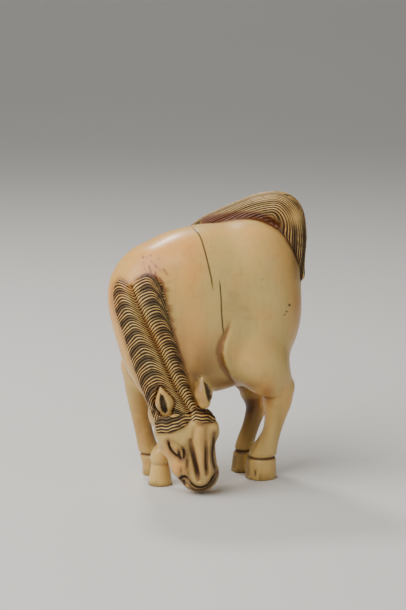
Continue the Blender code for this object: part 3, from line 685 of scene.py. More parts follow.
def raised(plane, outline, edge):
    """A pillow over an outline: one well inside it, falling round to nothing over its edge."""
    share = np.clip(depth_inside(plane, outline) / edge, 0.0, 1.0)
    return np.sqrt(1.0 - (1.0 - share) ** 2)


def groove(away, half_width):
    """A groove at a distance from its line: one on the line, nothing beyond its half width."""
    return np.clip(1.0 - (away / half_width) ** 2, 0.0, 1.0) ** GROOVE_POWER


def scored(plane, stroke, half_width):
    """A groove along a stroke."""
    return groove(distance_to(plane, stroke)[0], half_width)


def rounded_path(stroke, steps=STROKE_STEPS):
    """A stroke drawn as one smooth curve through its places."""
    return between([(*place, 0.0, 0.0) for place in stroke], steps)[:, :2]


def smears(plane, strokes):
    """Soft streaks of colour along strokes, the strongest one at each place, faint at their ends."""
    cover = np.zeros(len(plane))
    for stroke, reach, strength in strokes:
        away, _, along = distance_to(plane, rounded_path(stroke))
        cover = np.maximum(cover, strength * np.exp(-((away / reach) ** 2)) * tapered(along))
    return cover


def tapered(along):
    """One along a stroke, less towards its ends."""
    return np.clip(np.minimum(along, 1.0 - along) / STROKE_TAPER, STROKE_END, 1.0)


def away_from(plane, centre, reach):
    """The square of each place's distance from a centre, in reaches."""
    return (((plane - np.array(centre)) / np.array(reach)) ** 2).sum(axis=1)


def clouds(plane, spots):
    """Soft spots of colour, the strongest one at each place."""
    cover = np.zeros(len(plane))
    for centre, reach, strength in spots:
        cover = np.maximum(cover, strength * np.exp(-away_from(plane, centre, reach)))
    return cover


def between(stations, steps):
    """Stations filled in along a smooth path through all of them."""
    rows = np.array(stations, float)
    rows = np.vstack([2 * rows[0] - rows[1], rows, 2 * rows[-1] - rows[-2]])
    path = []
    for a, b, c, d in zip(rows[:-3], rows[1:-2], rows[2:-1], rows[3:]):
        for t in np.arange(steps) / steps:
            path.append(0.5 * (2 * b + (c - a) * t + (2 * a - 5 * b + 4 * c - d) * t ** 2
                               + (3 * b - a - 3 * c + d) * t ** 3))
    path.append(rows[-2])
    return np.array(path)


def batches(count):
    """The numbers of that many points, in batches."""
    return np.array_split(np.arange(count), max(1, count // BATCH))


def around(points, stations):
    """For each point: nearest place along a limb, and distance from the limb's middle in radii."""
    path = between(stations, MIDDLE_STEPS)
    middles = np.array([seen(row[:3]) for row in path]) / MM
    spread = points / MM
    nearest = np.empty(len(spread), int)
    for rows in batches(len(spread)):
        nearest[rows] = ((spread[rows, None] - middles[None]) ** 2).sum(axis=2).argmin(axis=1)
    away = np.linalg.norm(spread - middles[nearest], axis=1) / path[nearest, 3]
    return nearest / (len(path) - 1), away


def choose(thing):
    """Makes one object the only selected and active one."""
    bpy.ops.object.select_all(action="DESELECT")
    thing.select_set(True)
    bpy.context.view_layer.objects.active = thing


def apply(thing, kind, **settings):
    """Adds one modifier and applies it."""
    choose(thing)
    modifier = thing.modifiers.new(kind.lower(), kind)
    for key, value in settings.items():
        setattr(modifier, key, value)
    bpy.ops.object.modifier_apply(modifier=modifier.name)


def ball(centre, half, turn=0.0):
    """An ellipsoid mass: half sizes in millimetres along its own axes."""
    bpy.ops.mesh.primitive_uv_sphere_add(segments=BALL_SIDES, ring_count=BALL_RINGS, radius=1.0)
    mass = bpy.context.object
    scale = Matrix.Diagonal((*[size * MM for size in half], 1.0))
    mass.data.transform(Matrix.Translation(seen(centre)) @ Matrix.Rotation(turn, 4, "Z") @ scale)
    return mass


def limb(name, stations):
    """A round limb through its stations, with rounded ends."""
    path = between(stations, LIMB_STEPS)
    curve = bpy.data.curves.new(name, "CURVE")
    curve.dimensions = "3D"
    curve.bevel_depth = MM
    curve.bevel_resolution = LIMB_BEVEL
    curve.use_fill_caps = True
    spline = curve.splines.new("POLY")
    spline.points.add(len(path) - 1)
    for point, (across, rise, deep, radius) in zip(spline.points, path):
        point.co = (*seen((across, rise, deep)), 1.0)
        point.radius = radius
    tube = bpy.data.objects.new(name, curve)
    bpy.context.scene.collection.objects.link(tube)
    choose(tube)
    bpy.ops.object.convert(target="MESH")
    return [bpy.context.object, *[ball(path[i][:3], (path[i][3],) * 3) for i in (0, -1)]]


def grounded(foot):
    """The point of the ground where a foot stands, from its place across and deep in the view."""
    across, deep = foot
    return seen((across, math.sin(VIEW_RISE) * deep, deep))


def hoof(foot, sole, top):
    """A cone-shaped hoof that reaches just below the ground, where it is cut flat."""
    height = HOOF_HEIGHT + HOOF_BELOW
    spread = (sole - top) / HOOF_HEIGHT
    bpy.ops.mesh.primitive_cone_add(vertices=HOOF_SIDES, radius1=(sole + spread * HOOF_BELOW) * MM,
                                    radius2=top * MM, depth=height * MM)
    horn = bpy.context.object
    middle = grounded(foot) + Vector((0, 0, (height / 2 - HOOF_BELOW) * MM))
    horn.data.transform(Matrix.Translation(middle))
    return horn


def melt(pieces, voxel, soften):
    """Several overlapping masses melted into one skin and smoothed."""
    bpy.ops.object.select_all(action="DESELECT")
    for piece in pieces:
        piece.select_set(True)
    body = pieces[0]
    bpy.context.view_layer.objects.active = body
    bpy.ops.object.join()
    apply(body, "REMESH", mode="VOXEL", voxel_size=voxel * MM, adaptivity=0.0)
    if soften:
        apply(body, "SMOOTH", factor=SOFTEN_BY, iterations=soften)
    return body


def weigh(thing, name, weights):
    """Gives the object a named group of points with these weights."""
    group = thing.vertex_groups.new(name=name)
    for step in np.unique(np.round(weights, 1)):
        members = np.flatnonzero(np.round(weights, 1) == step)
        group.add(members.tolist(), float(step), "REPLACE")


def in_marked_zone(plane):
    """Which places lie in a zone of fine marks."""
    return np.any([away_from(plane, centre, reach) < 1.0 for centre, reach in MARKED_ZONES], axis=0)


def ear_stations(tip, base):
    """An ear: narrow at its base, widest just above it and pointed at its tip."""
    middle = tuple((1 - EAR_WIDEST) * t + EAR_WIDEST * b for t, b in zip(tip, base))
    return [(*base, EAR_BASE_SHARE * EAR_RADIUS), (*middle, EAR_RADIUS), (*tip, EAR_TIP_RADIUS)]


def coordinates(mesh):
    """The mesh's points and normals as arrays."""
    points = np.empty(len(mesh.vertices) * 3)
    normals = np.empty(len(mesh.vertices) * 3)
    mesh.vertices.foreach_get("co", points)
    mesh.vertices.foreach_get("normal", normals)
    return points.reshape(-1, 3), normals.reshape(-1, 3)


def push(mesh, points, normals, height):
    """Moves the skin out along its normals by a height in millimetres."""
    moved = points + normals * height[:, None] * MM
    mesh.vertices.foreach_set("co", moved.ravel())
    mesh.update()


def skin():
    """The horse's skin, or an error where it hasn't been modelled yet."""
    if SKIN not in bpy.data.objects:
        raise RuntimeError("the horse's form comes first: run the form operator")
    return bpy.data.objects[SKIN]


def crease(plane, stroke):
    """The step across the flank crease: raised on the rump side and dipped on the belly side."""
    away, _, _ = distance_to(plane, stroke)
    path = np.array(stroke, float)
    edge = np.interp(plane[:, 1], path[::-1, 1], path[::-1, 0])
    side = np.tanh((plane[:, 0] - edge) / CREASE_SOFT)
    haunch = HAUNCH_RISE * np.exp(-((away / HAUNCH_SPREAD) ** 2))
    flank = FLANK_DIP * np.exp(-((away / FLANK_SPREAD) ** 2))
    low, high = path[-1, 1], path[0, 1]
    fade = np.sin(math.pi * np.clip((plane[:, 1] - low) / (high - low), 0.0, 1.0))
    return fade * side * np.where(side > 0, haunch, flank)


def strand_count(plane, side, pitch):
    """Which strand of the mane each place lies on, counted down the parting."""
    first, last = np.array(PARTING[0], float), np.array(PARTING[-1], float)
    early, late = np.array(PARTING[1], float), np.array(PARTING[-2], float)
    longer = [first + PARTING_ABOVE * (first - early), *PARTING, last + PARTING_BELOW * (last - late)]
    path = rounded_path(longer, PARTING_STEPS)
    walked = np.concatenate(([0.0], np.cumsum(np.hypot(*np.diff(path, axis=0).T))))
    spots = np.linspace(0.0, walked[-1], HAIR_STEPS)
    roots = np.column_stack([np.interp(spots, walked, path[:, i]) for i in (0, 1)])
    rows = np.array(HAIR[side])
    reach, lift, fall = [np.interp(spots / walked[-1], rows[:, 0], rows[:, i]) for i in (1, 2, 3)]
    count = np.empty(len(plane))
    for rows in batches(len(plane)):
        share = np.clip((plane[rows, 0, None] - roots[None, :, 0]) / reach, 0.0, STRAND_OVER)
        above = roots[None, :, 1] + lift * share - fall * share ** HAIR_BEND[side] - plane[rows, 1, None]
        count[rows] = np.abs(above).argmin(axis=1)
        at = np.clip(count[rows].astype(int), 0, HAIR_STEPS - 2)
        here = np.take_along_axis(above, at[:, None], axis=1)[:, 0]
        there = np.take_along_axis(above, at[:, None] + 1, axis=1)[:, 0]
        step = np.where(np.abs(there - here) > 1e-6, here / (here - there), 0.0)
        count[rows] = at + np.clip(step, -1.0, 1.0)
    return count * (spots[1] - spots[0]) * MM / pitch


def tail_count(points, plane, deep, sizes):
    """Which strand of the tail each place lies on, counted from its outer edge and over its top."""
    outer, _, _ = distance_to(plane, rounded_path(TAIL_OUTER))
    share, _ = around(points, TAIL)
    path = between(TAIL, MIDDLE_STEPS)
    beyond = deep - np.interp(share, np.linspace(0.0, 1.0, len(path)), path[:, 2])
    size, across, inward = TAIL_WAVER
    waver = size * np.sin(across * plane[:, 0]) * np.sin(inward * outer)
    count = (-np.tanh(beyond / TAIL_TURN) * outer - TAIL_TOP * beyond) * MM / sizes.tail_pitch
    return count + waver + LOCK_STRANDS / 2


def on_mane(plane, deep):
    """Which places lie near enough to the eye to be the mane and not the body behind it."""
    return deep < MANE_BACK + MANE_BACK_SLOPE * (plane[:, 1] - MANE_BACK_RISE)


def near_hooves(points):
    """For each hoof: how dark its groove is, and how far above the groove each of its points lies."""
    x, y, z = (points / MM).T
    for name, (foot, _, _) in HOOVES.items():
        centre = grounded(foot) / MM
        near = np.hypot(x - centre.x, y - centre.y) < CORONET_REACH
        yield CORONET_SHADE[name], np.where(near, z - HOOF_HEIGHT, np.inf)


def hair_fields(points, normals, sizes):
    """The carved hair at each point: which strand it is on, and how far inside the hair it lies."""
    plane, deep = picture(points)
    sight = in_sight(points, normals)
    strand = np.zeros(len(points))
    inner = np.full(len(points), NO_HAIR)
    waver = sum(size * np.sin(across * plane[:, 0] + rise * plane[:, 1]) for size, across, rise in MANE_WAVER)

    def lay(rows, count, edge):
        """Lays one patch of hair over the others where it lies further inside its own outline."""
        better = edge > inner[rows]
        strand[rows[better]] = count[better]
        inner[rows[better]] = edge[better]

    for side, outline in (("left", LEFT_LOBE), ("right", RIGHT_LOBE)):
        edge = depth_inside(plane, outline)
        rows = np.flatnonzero(sight & on_mane(plane, deep) & (edge > HAIR_MARGIN))
        lay(rows, strand_count(plane[rows], side, sizes.hair_pitch) + waver[rows], edge[rows])
    for tuft, top in zip(FORELOCK, TUFT_TOPS):
        edge = depth_inside(plane, tuft)
        rows = np.flatnonzero(sight & (deep < FACE_BACK) & (edge > HAIR_MARGIN))
        below = np.interp(plane[rows, 0], *np.array(top).T) - plane[rows, 1]
        wave = TUFT_WAVER * np.sin(TUFT_TURNS * plane[rows, 0])
        lay(rows, (below + wave) * MM / sizes.forelock_pitch, edge[rows] + TUFT_OVER * (edge[rows] > 0.0))
    for tip, base, _ in EARS:
        inner[around(points, ear_stations(tip, base))[1] < EAR_BARE] = NO_HAIR
    near, far = [around(points, stations)[1] for stations in (TAIL, TAIL_FAR)]
    edge = (TAIL_REACH - np.minimum(near, far)) * TAIL_RADIUS
    rows = np.flatnonzero(edge > HAIR_MARGIN)
    lay(rows, tail_count(points[rows], plane[rows], deep[rows], sizes), edge[rows])
    return strand, inner


def hollows(mesh, rounds):
    """How far each point lies below the softened skin round it; less than nothing on a ridge."""
    points, normals = coordinates(mesh)
    ends = np.empty(len(mesh.edges) * 2, np.int64)
    mesh.edges.foreach_get("vertices", ends)
    first, second = ends.reshape(-1, 2).T
    size = len(points)
    shared = np.bincount(first, minlength=size) + np.bincount(second, minlength=size)
    soft = points.copy()
    for _ in range(rounds):
        total = [np.bincount(first, soft[second, i], size) + np.bincount(second, soft[first, i], size)
                 for i in range(3)]
        soft = 0.5 * soft + 0.5 * np.column_stack(total) / shared[:, None]
    return ((soft - points) * normals).sum(axis=1) / MM


def save_fields(mesh, **fields):
    """Keeps three numbers for each point of the mesh under each name, for the material to read."""
    for name, parts in fields.items():
        field = mesh.attributes.new(name, "FLOAT_VECTOR", "POINT")
        field.data.foreach_set("vector", np.column_stack(parts).astype(np.float32).ravel())


# What each field of the mesh holds.
FIELDS = {
    "hair": ("strand", "inside", "worn_and_highlit"),
    "tone": ("warmth", "brown", "redness"),
    "mark": ("line", "hollow", "swell"),
    "crack": ("crack_1", "crack_2", "thin"),
    "present": ("here_1", "here_2", "band"),
}

# Patterns of the ivory: size of their spots in millimetres, detail, stretch along its height. The grain and
# the pores of real ivory are finer, and are drawn as coarse as they need to be to show.
PATTERNS = {
    "wear": (1.6, 2.0, 1.0),
    "broad": (9.0, 2.0, 1.0),
    "cloudy": (3.0, 4.0, 1.0),
    "grain": (0.9, 4.0, 0.12),
    "pore": (0.22, 1.0, 1.0),
    "creep": (0.5, 2.0, 1.0),
}

# The ivory's look in steps: the name of each and what it is worked out from. RAMP rises smoothly between two
# values, MIX lays the last colour over the one before it by a share, and the others are plain arithmetic.
IVORY_STEPS = [
    # Strands: a sine of the strand count is nothing in each cut and one on each hair.
    ("in_hair", ("RAMP", "inside", -0.1, 0.15)),
    ("ridge", ("ABSOLUTE", ("SINE", ("MULTIPLY", "strand", math.pi)))),
    ("lock", ("ABSOLUTE", ("SINE", ("MULTIPLY", "strand", math.pi / LOCK_STRANDS)))),
    ("patch", ("ADD", "wear", ("MULTIPLY", "thin", 0.2))),
    ("bare", ("MULTIPLY", ("SUBTRACT", ("ADD", "patch", "thin"), 0.5), 0.26)),
    ("crest", ("MULTIPLY", ("RAMP", ("ADD", "ridge", "bare"), 0.74, 0.99),
               ("RAMP", ("ADD", "lock", ("MULTIPLY", "thin", 0.5)), 0.15, 0.7))),
    ("crest", ("MULTIPLY", "crest", ("ADD", 0.45, ("MULTIPLY", ("RAMP", "patch", 0.3, 0.5), 0.5)))),
    # Left uncut where the tail is worn smooth and where a highlight is painted on it.
    ("crest", ("MAXIMUM", "crest", ("MULTIPLY", "worn_and_highlit", 0.9))),
    ("cut", ("MULTIPLY", "in_hair", ("SUBTRACT", 1.0, "crest"))),

    # The polished skin: cream to honey, browner in hollows and pores, browner again with stain and painted
    # shade, and paler on ridges as a painted highlight.
    ("warm", ("ADD", ("MULTIPLY", "warmth", 0.75), ("MULTIPLY", ("RAMP", "broad", 0.45, 0.75), 0.35))),
    ("base", ("MIX", ("MINIMUM", "warm", 1.0), "cream", "honey")),
    ("base", ("MIX", ("MULTIPLY", ("RAMP", "cloudy", 0.5, 0.8), 0.16), "base", "amber")),
    ("base", ("MIX", ("MULTIPLY", ("RAMP", "grain", 0.48, 0.7), 0.07), "base", "amber")),
    ("base", ("MIX", ("MULTIPLY", "brown", ("RAMP", "cloudy", 0.1, 0.45)), "base", "amber")),
    ("base", ("MIX", ("MULTIPLY", ("RAMP", "brown", 0.6, 1.0), 0.62), "base", "stain")),
    ("base", ("MIX", ("MULTIPLY", ("RAMP", "hollow", 0.015, 0.13), 0.7), "base", "amber")),
    ("base", ("MIX", ("MULTIPLY", ("RAMP", "pore", 0.66, 0.74), 0.14), "base", "amber")),
    # Paler on ridges: a painted highlight.
    ("base", ("MIX", ("MULTIPLY", ("RAMP", "swell", 0.02, 0.16), 0.45), "base", "cream")),

    # Red-brown dashes where stain has crept into the pores by the mane.
    ("dash", ("ADD", 0.75, ("MULTIPLY", ("RAMP", "creep", 0.35, 0.6), 0.25))),
    ("base", ("MIX", ("MULTIPLY", "redness", "dash"), "base", "speck")),

    # Dark marks: cracks, cut lines of the face and hooves, pits, and the tail's band, which carries painted
    # shade.
    ("open_1", ("SUBTRACT", 1.0, ("RAMP", ("ABSOLUTE", "crack_1"), 0.06, 0.27))),
    ("open_2", ("SUBTRACT", 1.0, ("RAMP", ("ABSOLUTE", "crack_2"), 0.06, 0.27))),
    ("cracked", ("MAXIMUM", ("MULTIPLY", "here_1", "open_1"), ("MULTIPLY", "here_2", "open_2"))),
    ("base", ("MIX", ("MULTIPLY", "cracked", CRACK_SHADE), "base", "crack")),
    ("fine", ("MULTIPLY", "line", ("ADD", 0.8, ("MULTIPLY", "cloudy", 0.3)))),
    ("dark", ("MAXIMUM", "cut", ("MINIMUM", "fine", 1.0))),
    ("base", ("MIX", ("MULTIPLY", "in_hair", 0.15), "base", ("MIX", "in_hair", "base", "honey"))),
    ("base", ("MIX", ("MULTIPLY", "band", ("MULTIPLY", "worn_and_highlit", TAIL_BAND_SHADE)), "base", "russet")),
    ("base", ("MIX", ("MULTIPLY", "dark", 0.96), "base", "stain")),

    # Duller in the stain, and the last of the relief that the skin's triangles are too coarse for.
    ("rough", ("ADD", ("ADD", 0.27, ("MULTIPLY", "cloudy", 0.14)), ("MULTIPLY", "dark", 0.45))),
    ("relief", ("ADD", ("MULTIPLY", "ridge", "in_hair"), ("MULTIPLY", "cracked", -0.6))),
    ("relief", ("ADD", ("MULTIPLY", "relief", 0.5), ("MULTIPLY", "grain", 0.03))),
]

# The node, its sockets, its output and its settings for the steps that aren't arithmetic.
STEP_NODES = {
    "RAMP": ("MapRange", ("Value", "From Min", "From Max"), "Result", {"interpolation_type": "SMOOTHSTEP"}),
    "MIX": ("Mix", (0, 6, 7), 2, {"data_type": "RGBA"}),
}

# Ivory's own index and a low wax gloss, with a little light inside that goes further in red.
IVORY_SURFACE = [
    ("IOR", 1.42), ("Subsurface Weight", 0.12), ("Subsurface Radius", (1.0, 0.6, 0.3)),
    ("Subsurface Scale", 0.9 * MM), ("Coat Weight", 0.06), ("Coat Roughness", 0.12),
]
RELIEF_HEIGHT = 0.16
RELIEF_STRENGTH = 0.5


def add_node(tree, kind, links=(), **settings):
    """Adds one node with its settings; each link is an input's name or number and a value or an output."""
    node = tree.nodes.new("ShaderNode" + kind)
    for key, value in settings.items():
        setattr(node, key, value)
    for socket, value in links:
        if isinstance(value, bpy.types.NodeSocket):
            tree.links.new(value, node.inputs[socket])
        else:
            node.inputs[socket].default_value = value
    return node


def aged_ivory(colours):
    """Elephant ivory, carved, stained and polished by hand.

    It looks like dense pale tooth: cream with warmer honey where it was handled, faint grain along its
    length, dark stain left in every cut, and a soft waxy gloss with a little light inside. Shade is also
    painted into it on the far legs, the belly, the crease and under the hair, and a highlight on its ridges.
    """
    material = bpy.data.materials.new("carved_stained_ivory")
    material.use_nodes = True
    tree = material.node_tree
    tree.nodes.clear()
    wires = {name: (*getattr(colours, name), 1.0) for name in HorseColours.__annotations__}
    for field, parts in FIELDS.items():
        attribute = add_node(tree, "Attribute", attribute_name=field)
        wires.update(zip(parts, add_node(tree, "SeparateXYZ", [(0, attribute.outputs["Vector"])]).outputs))
    place = add_node(tree, "TexCoord").outputs["Object"]
    for name, (size, detail, stretch) in PATTERNS.items():
        scaled = add_node(tree, "Mapping", [("Vector", place), ("Scale", (1.0, 1.0, stretch))])
        wires[name] = add_node(tree, "TexNoise", [("Vector", scaled.outputs[0]), ("Scale", 1.0 / (size * MM)),
                                                  ("Detail", detail)]).outputs["Fac"]

    def work_out(step):
        """Turns a step, a name or a number into what a socket takes."""
        if isinstance(step, str):
            return wires[step]
        if not isinstance(step, tuple):
            return step
        plain = ("Math", (0, 1), 0, {"operation": step[0]})
        kind, sockets, output, settings = STEP_NODES.get(step[0], plain)
        links = [(socket, work_out(part)) for socket, part in zip(sockets, step[1:])]
        return add_node(tree, kind, links, **settings).outputs[output]

    for name, step in IVORY_STEPS:
        wires[name] = work_out(step)
    bump = add_node(tree, "Bump", [("Height", wires["relief"]), ("Strength", RELIEF_STRENGTH),
                                   ("Distance", RELIEF_HEIGHT * MM)])
    shader = add_node(tree, "BsdfPrincipled", [("Base Color", wires["base"]), ("Roughness", wires["rough"]),
                                               ("Normal", bump.outputs[0]), *IVORY_SURFACE])
    add_node(tree, "OutputMaterial", [("Surface", shader.outputs[0])])
    return material


class NETSUKE_OT_form(bpy.types.Operator):
    """Melts the horse's masses into one skin and gives it its mane, crease, ears and hooves"""
    bl_idname = "netsuke.form"
    bl_label = "Horse's Form"

    def execute(self, context):
        sizes = context.scene.horse_sizes
        trunk = [ball(centre, half) for centre, half in TRUNK] + limb("neck", NECK)
        trunk += limb("near_haunch", NEAR_THIGH[:3]) + limb("far_haunch", FAR_THIGH[:3])
        trunk = melt(trunk, TRUNK_VOXEL, TRUNK_SOFTEN)
        apply(trunk, "SUBSURF", levels=1, render_levels=1)
        head = [ball(centre, half, HEAD_TURN - VIEW_TURN) for centre, half in [*HEAD, THROAT]]
        head = melt(head + limb("nose", NOSE), HEAD_VOXEL, HEAD_SOFTEN)
        apply(head, "SUBSURF", levels=1, render_levels=1)
        pieces = [trunk, head]
        for stations in (NEAR_THIGH, FAR_THIGH, NEAR_HIND, FAR_HIND, NEAR_FORE, FAR_FORE, TAIL, TAIL_FAR):
            pieces += limb("limb", stations)
        pieces += [hoof(*sizes_of_hoof) for sizes_of_hoof in HOOVES.values()]
        for tip, base, _ in EARS:
            pieces += limb("ear", ear_stations(tip, base))
        horse = melt(pieces, sizes.skin_voxel / MM, SKIN_SOFTEN)
        horse.name = horse.data.name = SKIN
        plane, _ = picture(coordinates(horse.data)[0])
        weigh(horse, "haunch", raised(plane, HAUNCH_ZONE, HAUNCH_EDGE))
        apply(horse, "SMOOTH", factor=SOFTEN_BY, iterations=HAUNCH_ROUNDS, vertex_group="haunch")
        self.shape(horse.data)
        return {"FINISHED"}

    @staticmethod
    def shape(mesh):
        """Raises the mane and the haunch and cuts the parting, the face, the ears and the hooves' grooves."""
        points, normals = coordinates(mesh)
        plane, deep = picture(points)
        lobes = [raised(plane, lobe, MANE_EDGE) for lobe in (LEFT_LOBE, RIGHT_LOBE)]
        height = MANE_RAISE * np.maximum(*lobes)
        height -= PARTING_DEPTH * scored(plane, PARTING, PARTING_WIDTH)
        height *= on_mane(plane, deep)
        face = EYE_RAISE * raised(plane, EYE, EYE_EDGE)
        for tuft in FORELOCK:
            face += FORELOCK_RAISE * raised(plane, tuft, FORELOCK_EDGE)
        for stroke, half_width, depth in FACE.values():
            face -= BROAD_SHARE * depth * scored(plane, stroke, half_width)
        height += face * (deep < FACE_BACK) + crease(plane, FLANK)
        for tip, base, cup in EARS:
            _, away = around(points, ear_stations(tip, base))
            hollow = EAR_HOLLOW_DEPTH * raised(plane, cup, EAR_HOLLOW_EDGE)
            height = np.where(away > EAR_CLEAR, height, -hollow)
        height *= in_sight(points, normals)
        for shade, above in near_hooves(points):
            height -= shade * CORONET_DEPTH * np.clip(1 - (above / CORONET_WIDTH) ** 2, 0, 1)
        push(mesh, points, normals, height)


class NETSUKE_OT_carve(bpy.types.Operator):
    """Cuts the strands of mane, forelock and tail, the lines of the face, and the age marks"""
    bl_idname = "netsuke.carve"
    bl_label = "Hair, Face and Age"

    def execute(self, context):
        sizes = context.scene.horse_sizes
        horse = skin()
        self.refine(horse, sizes)
        mesh = horse.data
        points, normals = coordinates(mesh)
        plane, deep = picture(points)
        sight = in_sight(points, normals)
        strand, inner = hair_fields(points, normals, sizes)
        cover = np.clip((inner - HAIR_START) / HAIR_FADE, 0.0, 1.0)
        ridge = np.abs(np.sin(math.pi * strand))
        lock = np.abs(np.sin(math.pi * strand / LOCK_STRANDS))
        depth = sizes.hair_depth / MM
        cover *= np.clip(np.maximum(normals @ EYE_LINE / EDGE_FACING, deep > 0.0), 0.0, 1.0)
        height = -cover * depth * ((1.0 - ridge) + LOCK_CUT * (1.0 - np.clip(lock / LOCK_GAP, 0.0, 1.0)))
        mark, face, halo = np.zeros((3, len(points)))
        on_face = sight & (deep < FACE_BACK)
        for stroke, half_width, raise_by in FACE_RIDGES:
            height += raise_by * sizes.face_depth * scored(plane, rounded_path(stroke), half_width) * on_face
        for stroke, half_width, cut, darkness, breadth in FINE_FACE.values():
            away, _, along = distance_to(plane, rounded_path(stroke))
            taper = tapered(along) * on_face
            face = np.minimum(face, -cut * sizes.face_depth * groove(away, half_width) * taper)
            mark = np.maximum(mark, darkness * np.exp(-((away / breadth) ** 4)) * taper)
            # Brown round each line: stain, and painted shade in the flutes.
            halo = np.maximum(halo, darkness * np.exp(-((away / (breadth + FACE_HALO)) ** 2)) * on_face)
        for stroke, half_width, cut, darkness in HOOF_MARKS.values():
            scratch = scored(plane, rounded_path(stroke), half_width) * sight
            face = np.minimum(face, -cut * scratch)
            mark = np.maximum(mark, darkness * scratch)
        height += face
        near_flank = sight & (deep > FLANK_FRONT) & (inner < 0.0)
        for centre, radius, cut in PITS:
            pit = np.clip(1.0 - np.hypot(*(plane - np.array(centre)).T) / radius, 0.0, 1.0) * near_flank
            height -= cut * pit
            mark = np.maximum(mark, np.clip(PIT_SHADE * pit, 0.0, 1.0))
        hollow = hollows(mesh, HOLLOW_ROUNDS)
        self.save(mesh, points, plane, deep, sight, strand, inner, mark, halo, hollow, near_flank)
        push(mesh, points, normals, height)
        return {"FINISHED"}

    @staticmethod
    def refine(horse, sizes):
        """Divides the faces that carry hair or the face once more."""
        mesh = horse.data
        points, normals = coordinates(mesh)
        plane, deep = picture(points)
        _, inner = hair_fields(points, normals, sizes)
        wanted = (inner > TAIL_INSIDE) | ((deep < FACE_BACK) & (plane[:, 1] < PARTING[-1][1] + FACE_TOP))
        wanted |= in_marked_zone(plane) & in_sight(points, normals)
        faces = np.array([wanted[list(face.vertices)].any() for face in mesh.polygons])
        mesh.polygons.foreach_set("select", faces)
        choose(horse)
        bpy.ops.object.mode_set(mode="EDIT")
        bpy.ops.mesh.select_mode(type="FACE")
        bpy.ops.object.mode_set(mode="OBJECT")
        mesh.polygons.foreach_set("select", faces)
        bpy.ops.object.mode_set(mode="EDIT")
        bpy.ops.mesh.subdivide(number_cuts=1, smoothness=0.0)
        bpy.ops.object.mode_set(mode="OBJECT")

    @staticmethod
    def save(mesh, points, plane, deep, sight, strand, inner, mark, halo, hollow, near_flank):
        """Keeps what the ivory needs to know about each point."""
        for tip, base, cup in EARS:
            _, away = around(points, ear_stations(tip, base))
            shade = np.clip((depth_inside(plane, cup) + EAR_STAIN_OVER) / EAR_STAIN_EDGE, 0.0, 1.0)
            mark = np.maximum(mark, EAR_SHADE * shade * sight * (away < EAR_CLEAR))
        for shade, above in near_hooves(points):
            ring = np.clip(1 - (above / (CORONET_STAIN * CORONET_WIDTH)) ** 2, 0, 1)
            mark = np.maximum(mark, shade * ring)
        # Painted shade along the flank crease.
        away, _, along = distance_to(plane, rounded_path(FLANK))
        crease_painted_shade = CREASE_SHADE * np.exp(-((away / CREASE_REACH) ** 2)) * np.sin(math.pi * along)
        # Brown just outside the hair: stain, and painted shade below the raised hair.
        fringe = FRINGE_SHADE * np.exp(-((inner / FRINGE_REACH) ** 2)) * (inner < 0.0)
        speck = np.maximum(clouds(plane, SPECK_CLOUDS), smears(plane, SPECK_STROKES)) * sight
        # The tail's band: red-brown, with painted shade in the recess under the lock.
        away, _, _ = distance_to(plane, rounded_path(TAIL_BAND))
        band = np.exp(-((away / TAIL_BAND_REACH) ** 4)) * (inner > TAIL_INSIDE)
        on_tail = (deep > 0.0) & (inner > TAIL_INSIDE)
        # Brown: stain, and painted shade on the far legs, under the belly, in the crease, below the hair's
        # edges and in the tail's band.
        brown = np.maximum.reduce([
            clouds(plane, BROWN_SHADE_AND_STAIN_CLOUDS) * sight, clouds(plane, FAR_SHADE_AND_STAIN_CLOUDS) * sight * (deep > FAR_DEEP),
            smears(plane, BROWN_STAIN_AND_SHADE_STROKES) * sight, crease_painted_shade * sight, fringe, HALO_SHARE * halo, band,
            TAIL_BROWN * on_tail])
        # Pale tail: rubbed at its bend, smooth in its band, and a painted highlight along its top.
        worn_and_highlit = np.maximum(clouds(plane, WORN_AND_HIGHLIGHT_CLOUDS), TAIL_BAND_WORN * band)
        beside, _, _ = distance_to(plane, rounded_path(PARTING))
        high = np.clip((plane[:, 1] - TAIL_THIN_FROM) / (TAIL_THIN_TO - TAIL_THIN_FROM), 0.0, 1.0)
        thin = np.maximum(TAIL_THIN * high * on_tail, PARTING_THIN * np.exp(-((beside / PARTING_PALE) ** 2)))
        lines, present = [], []
        for stroke in CRACKS:
            away, side, along = distance_to(plane, rounded_path(stroke))
            lines.append(away * side)
            present.append(np.clip(np.minimum(along, 1.0 - along) / CRACK_ENDS, 0.0, 1.0) * near_flank)
        save_fields(mesh, hair=(strand, inner, worn_and_highlit), tone=(clouds(plane, HONEY_CLOUDS), brown, speck),
                    mark=(mark, np.maximum(hollow, 0.0), np.maximum(-hollow, 0.0)),
                    crack=(*lines, thin), present=(*present, band))


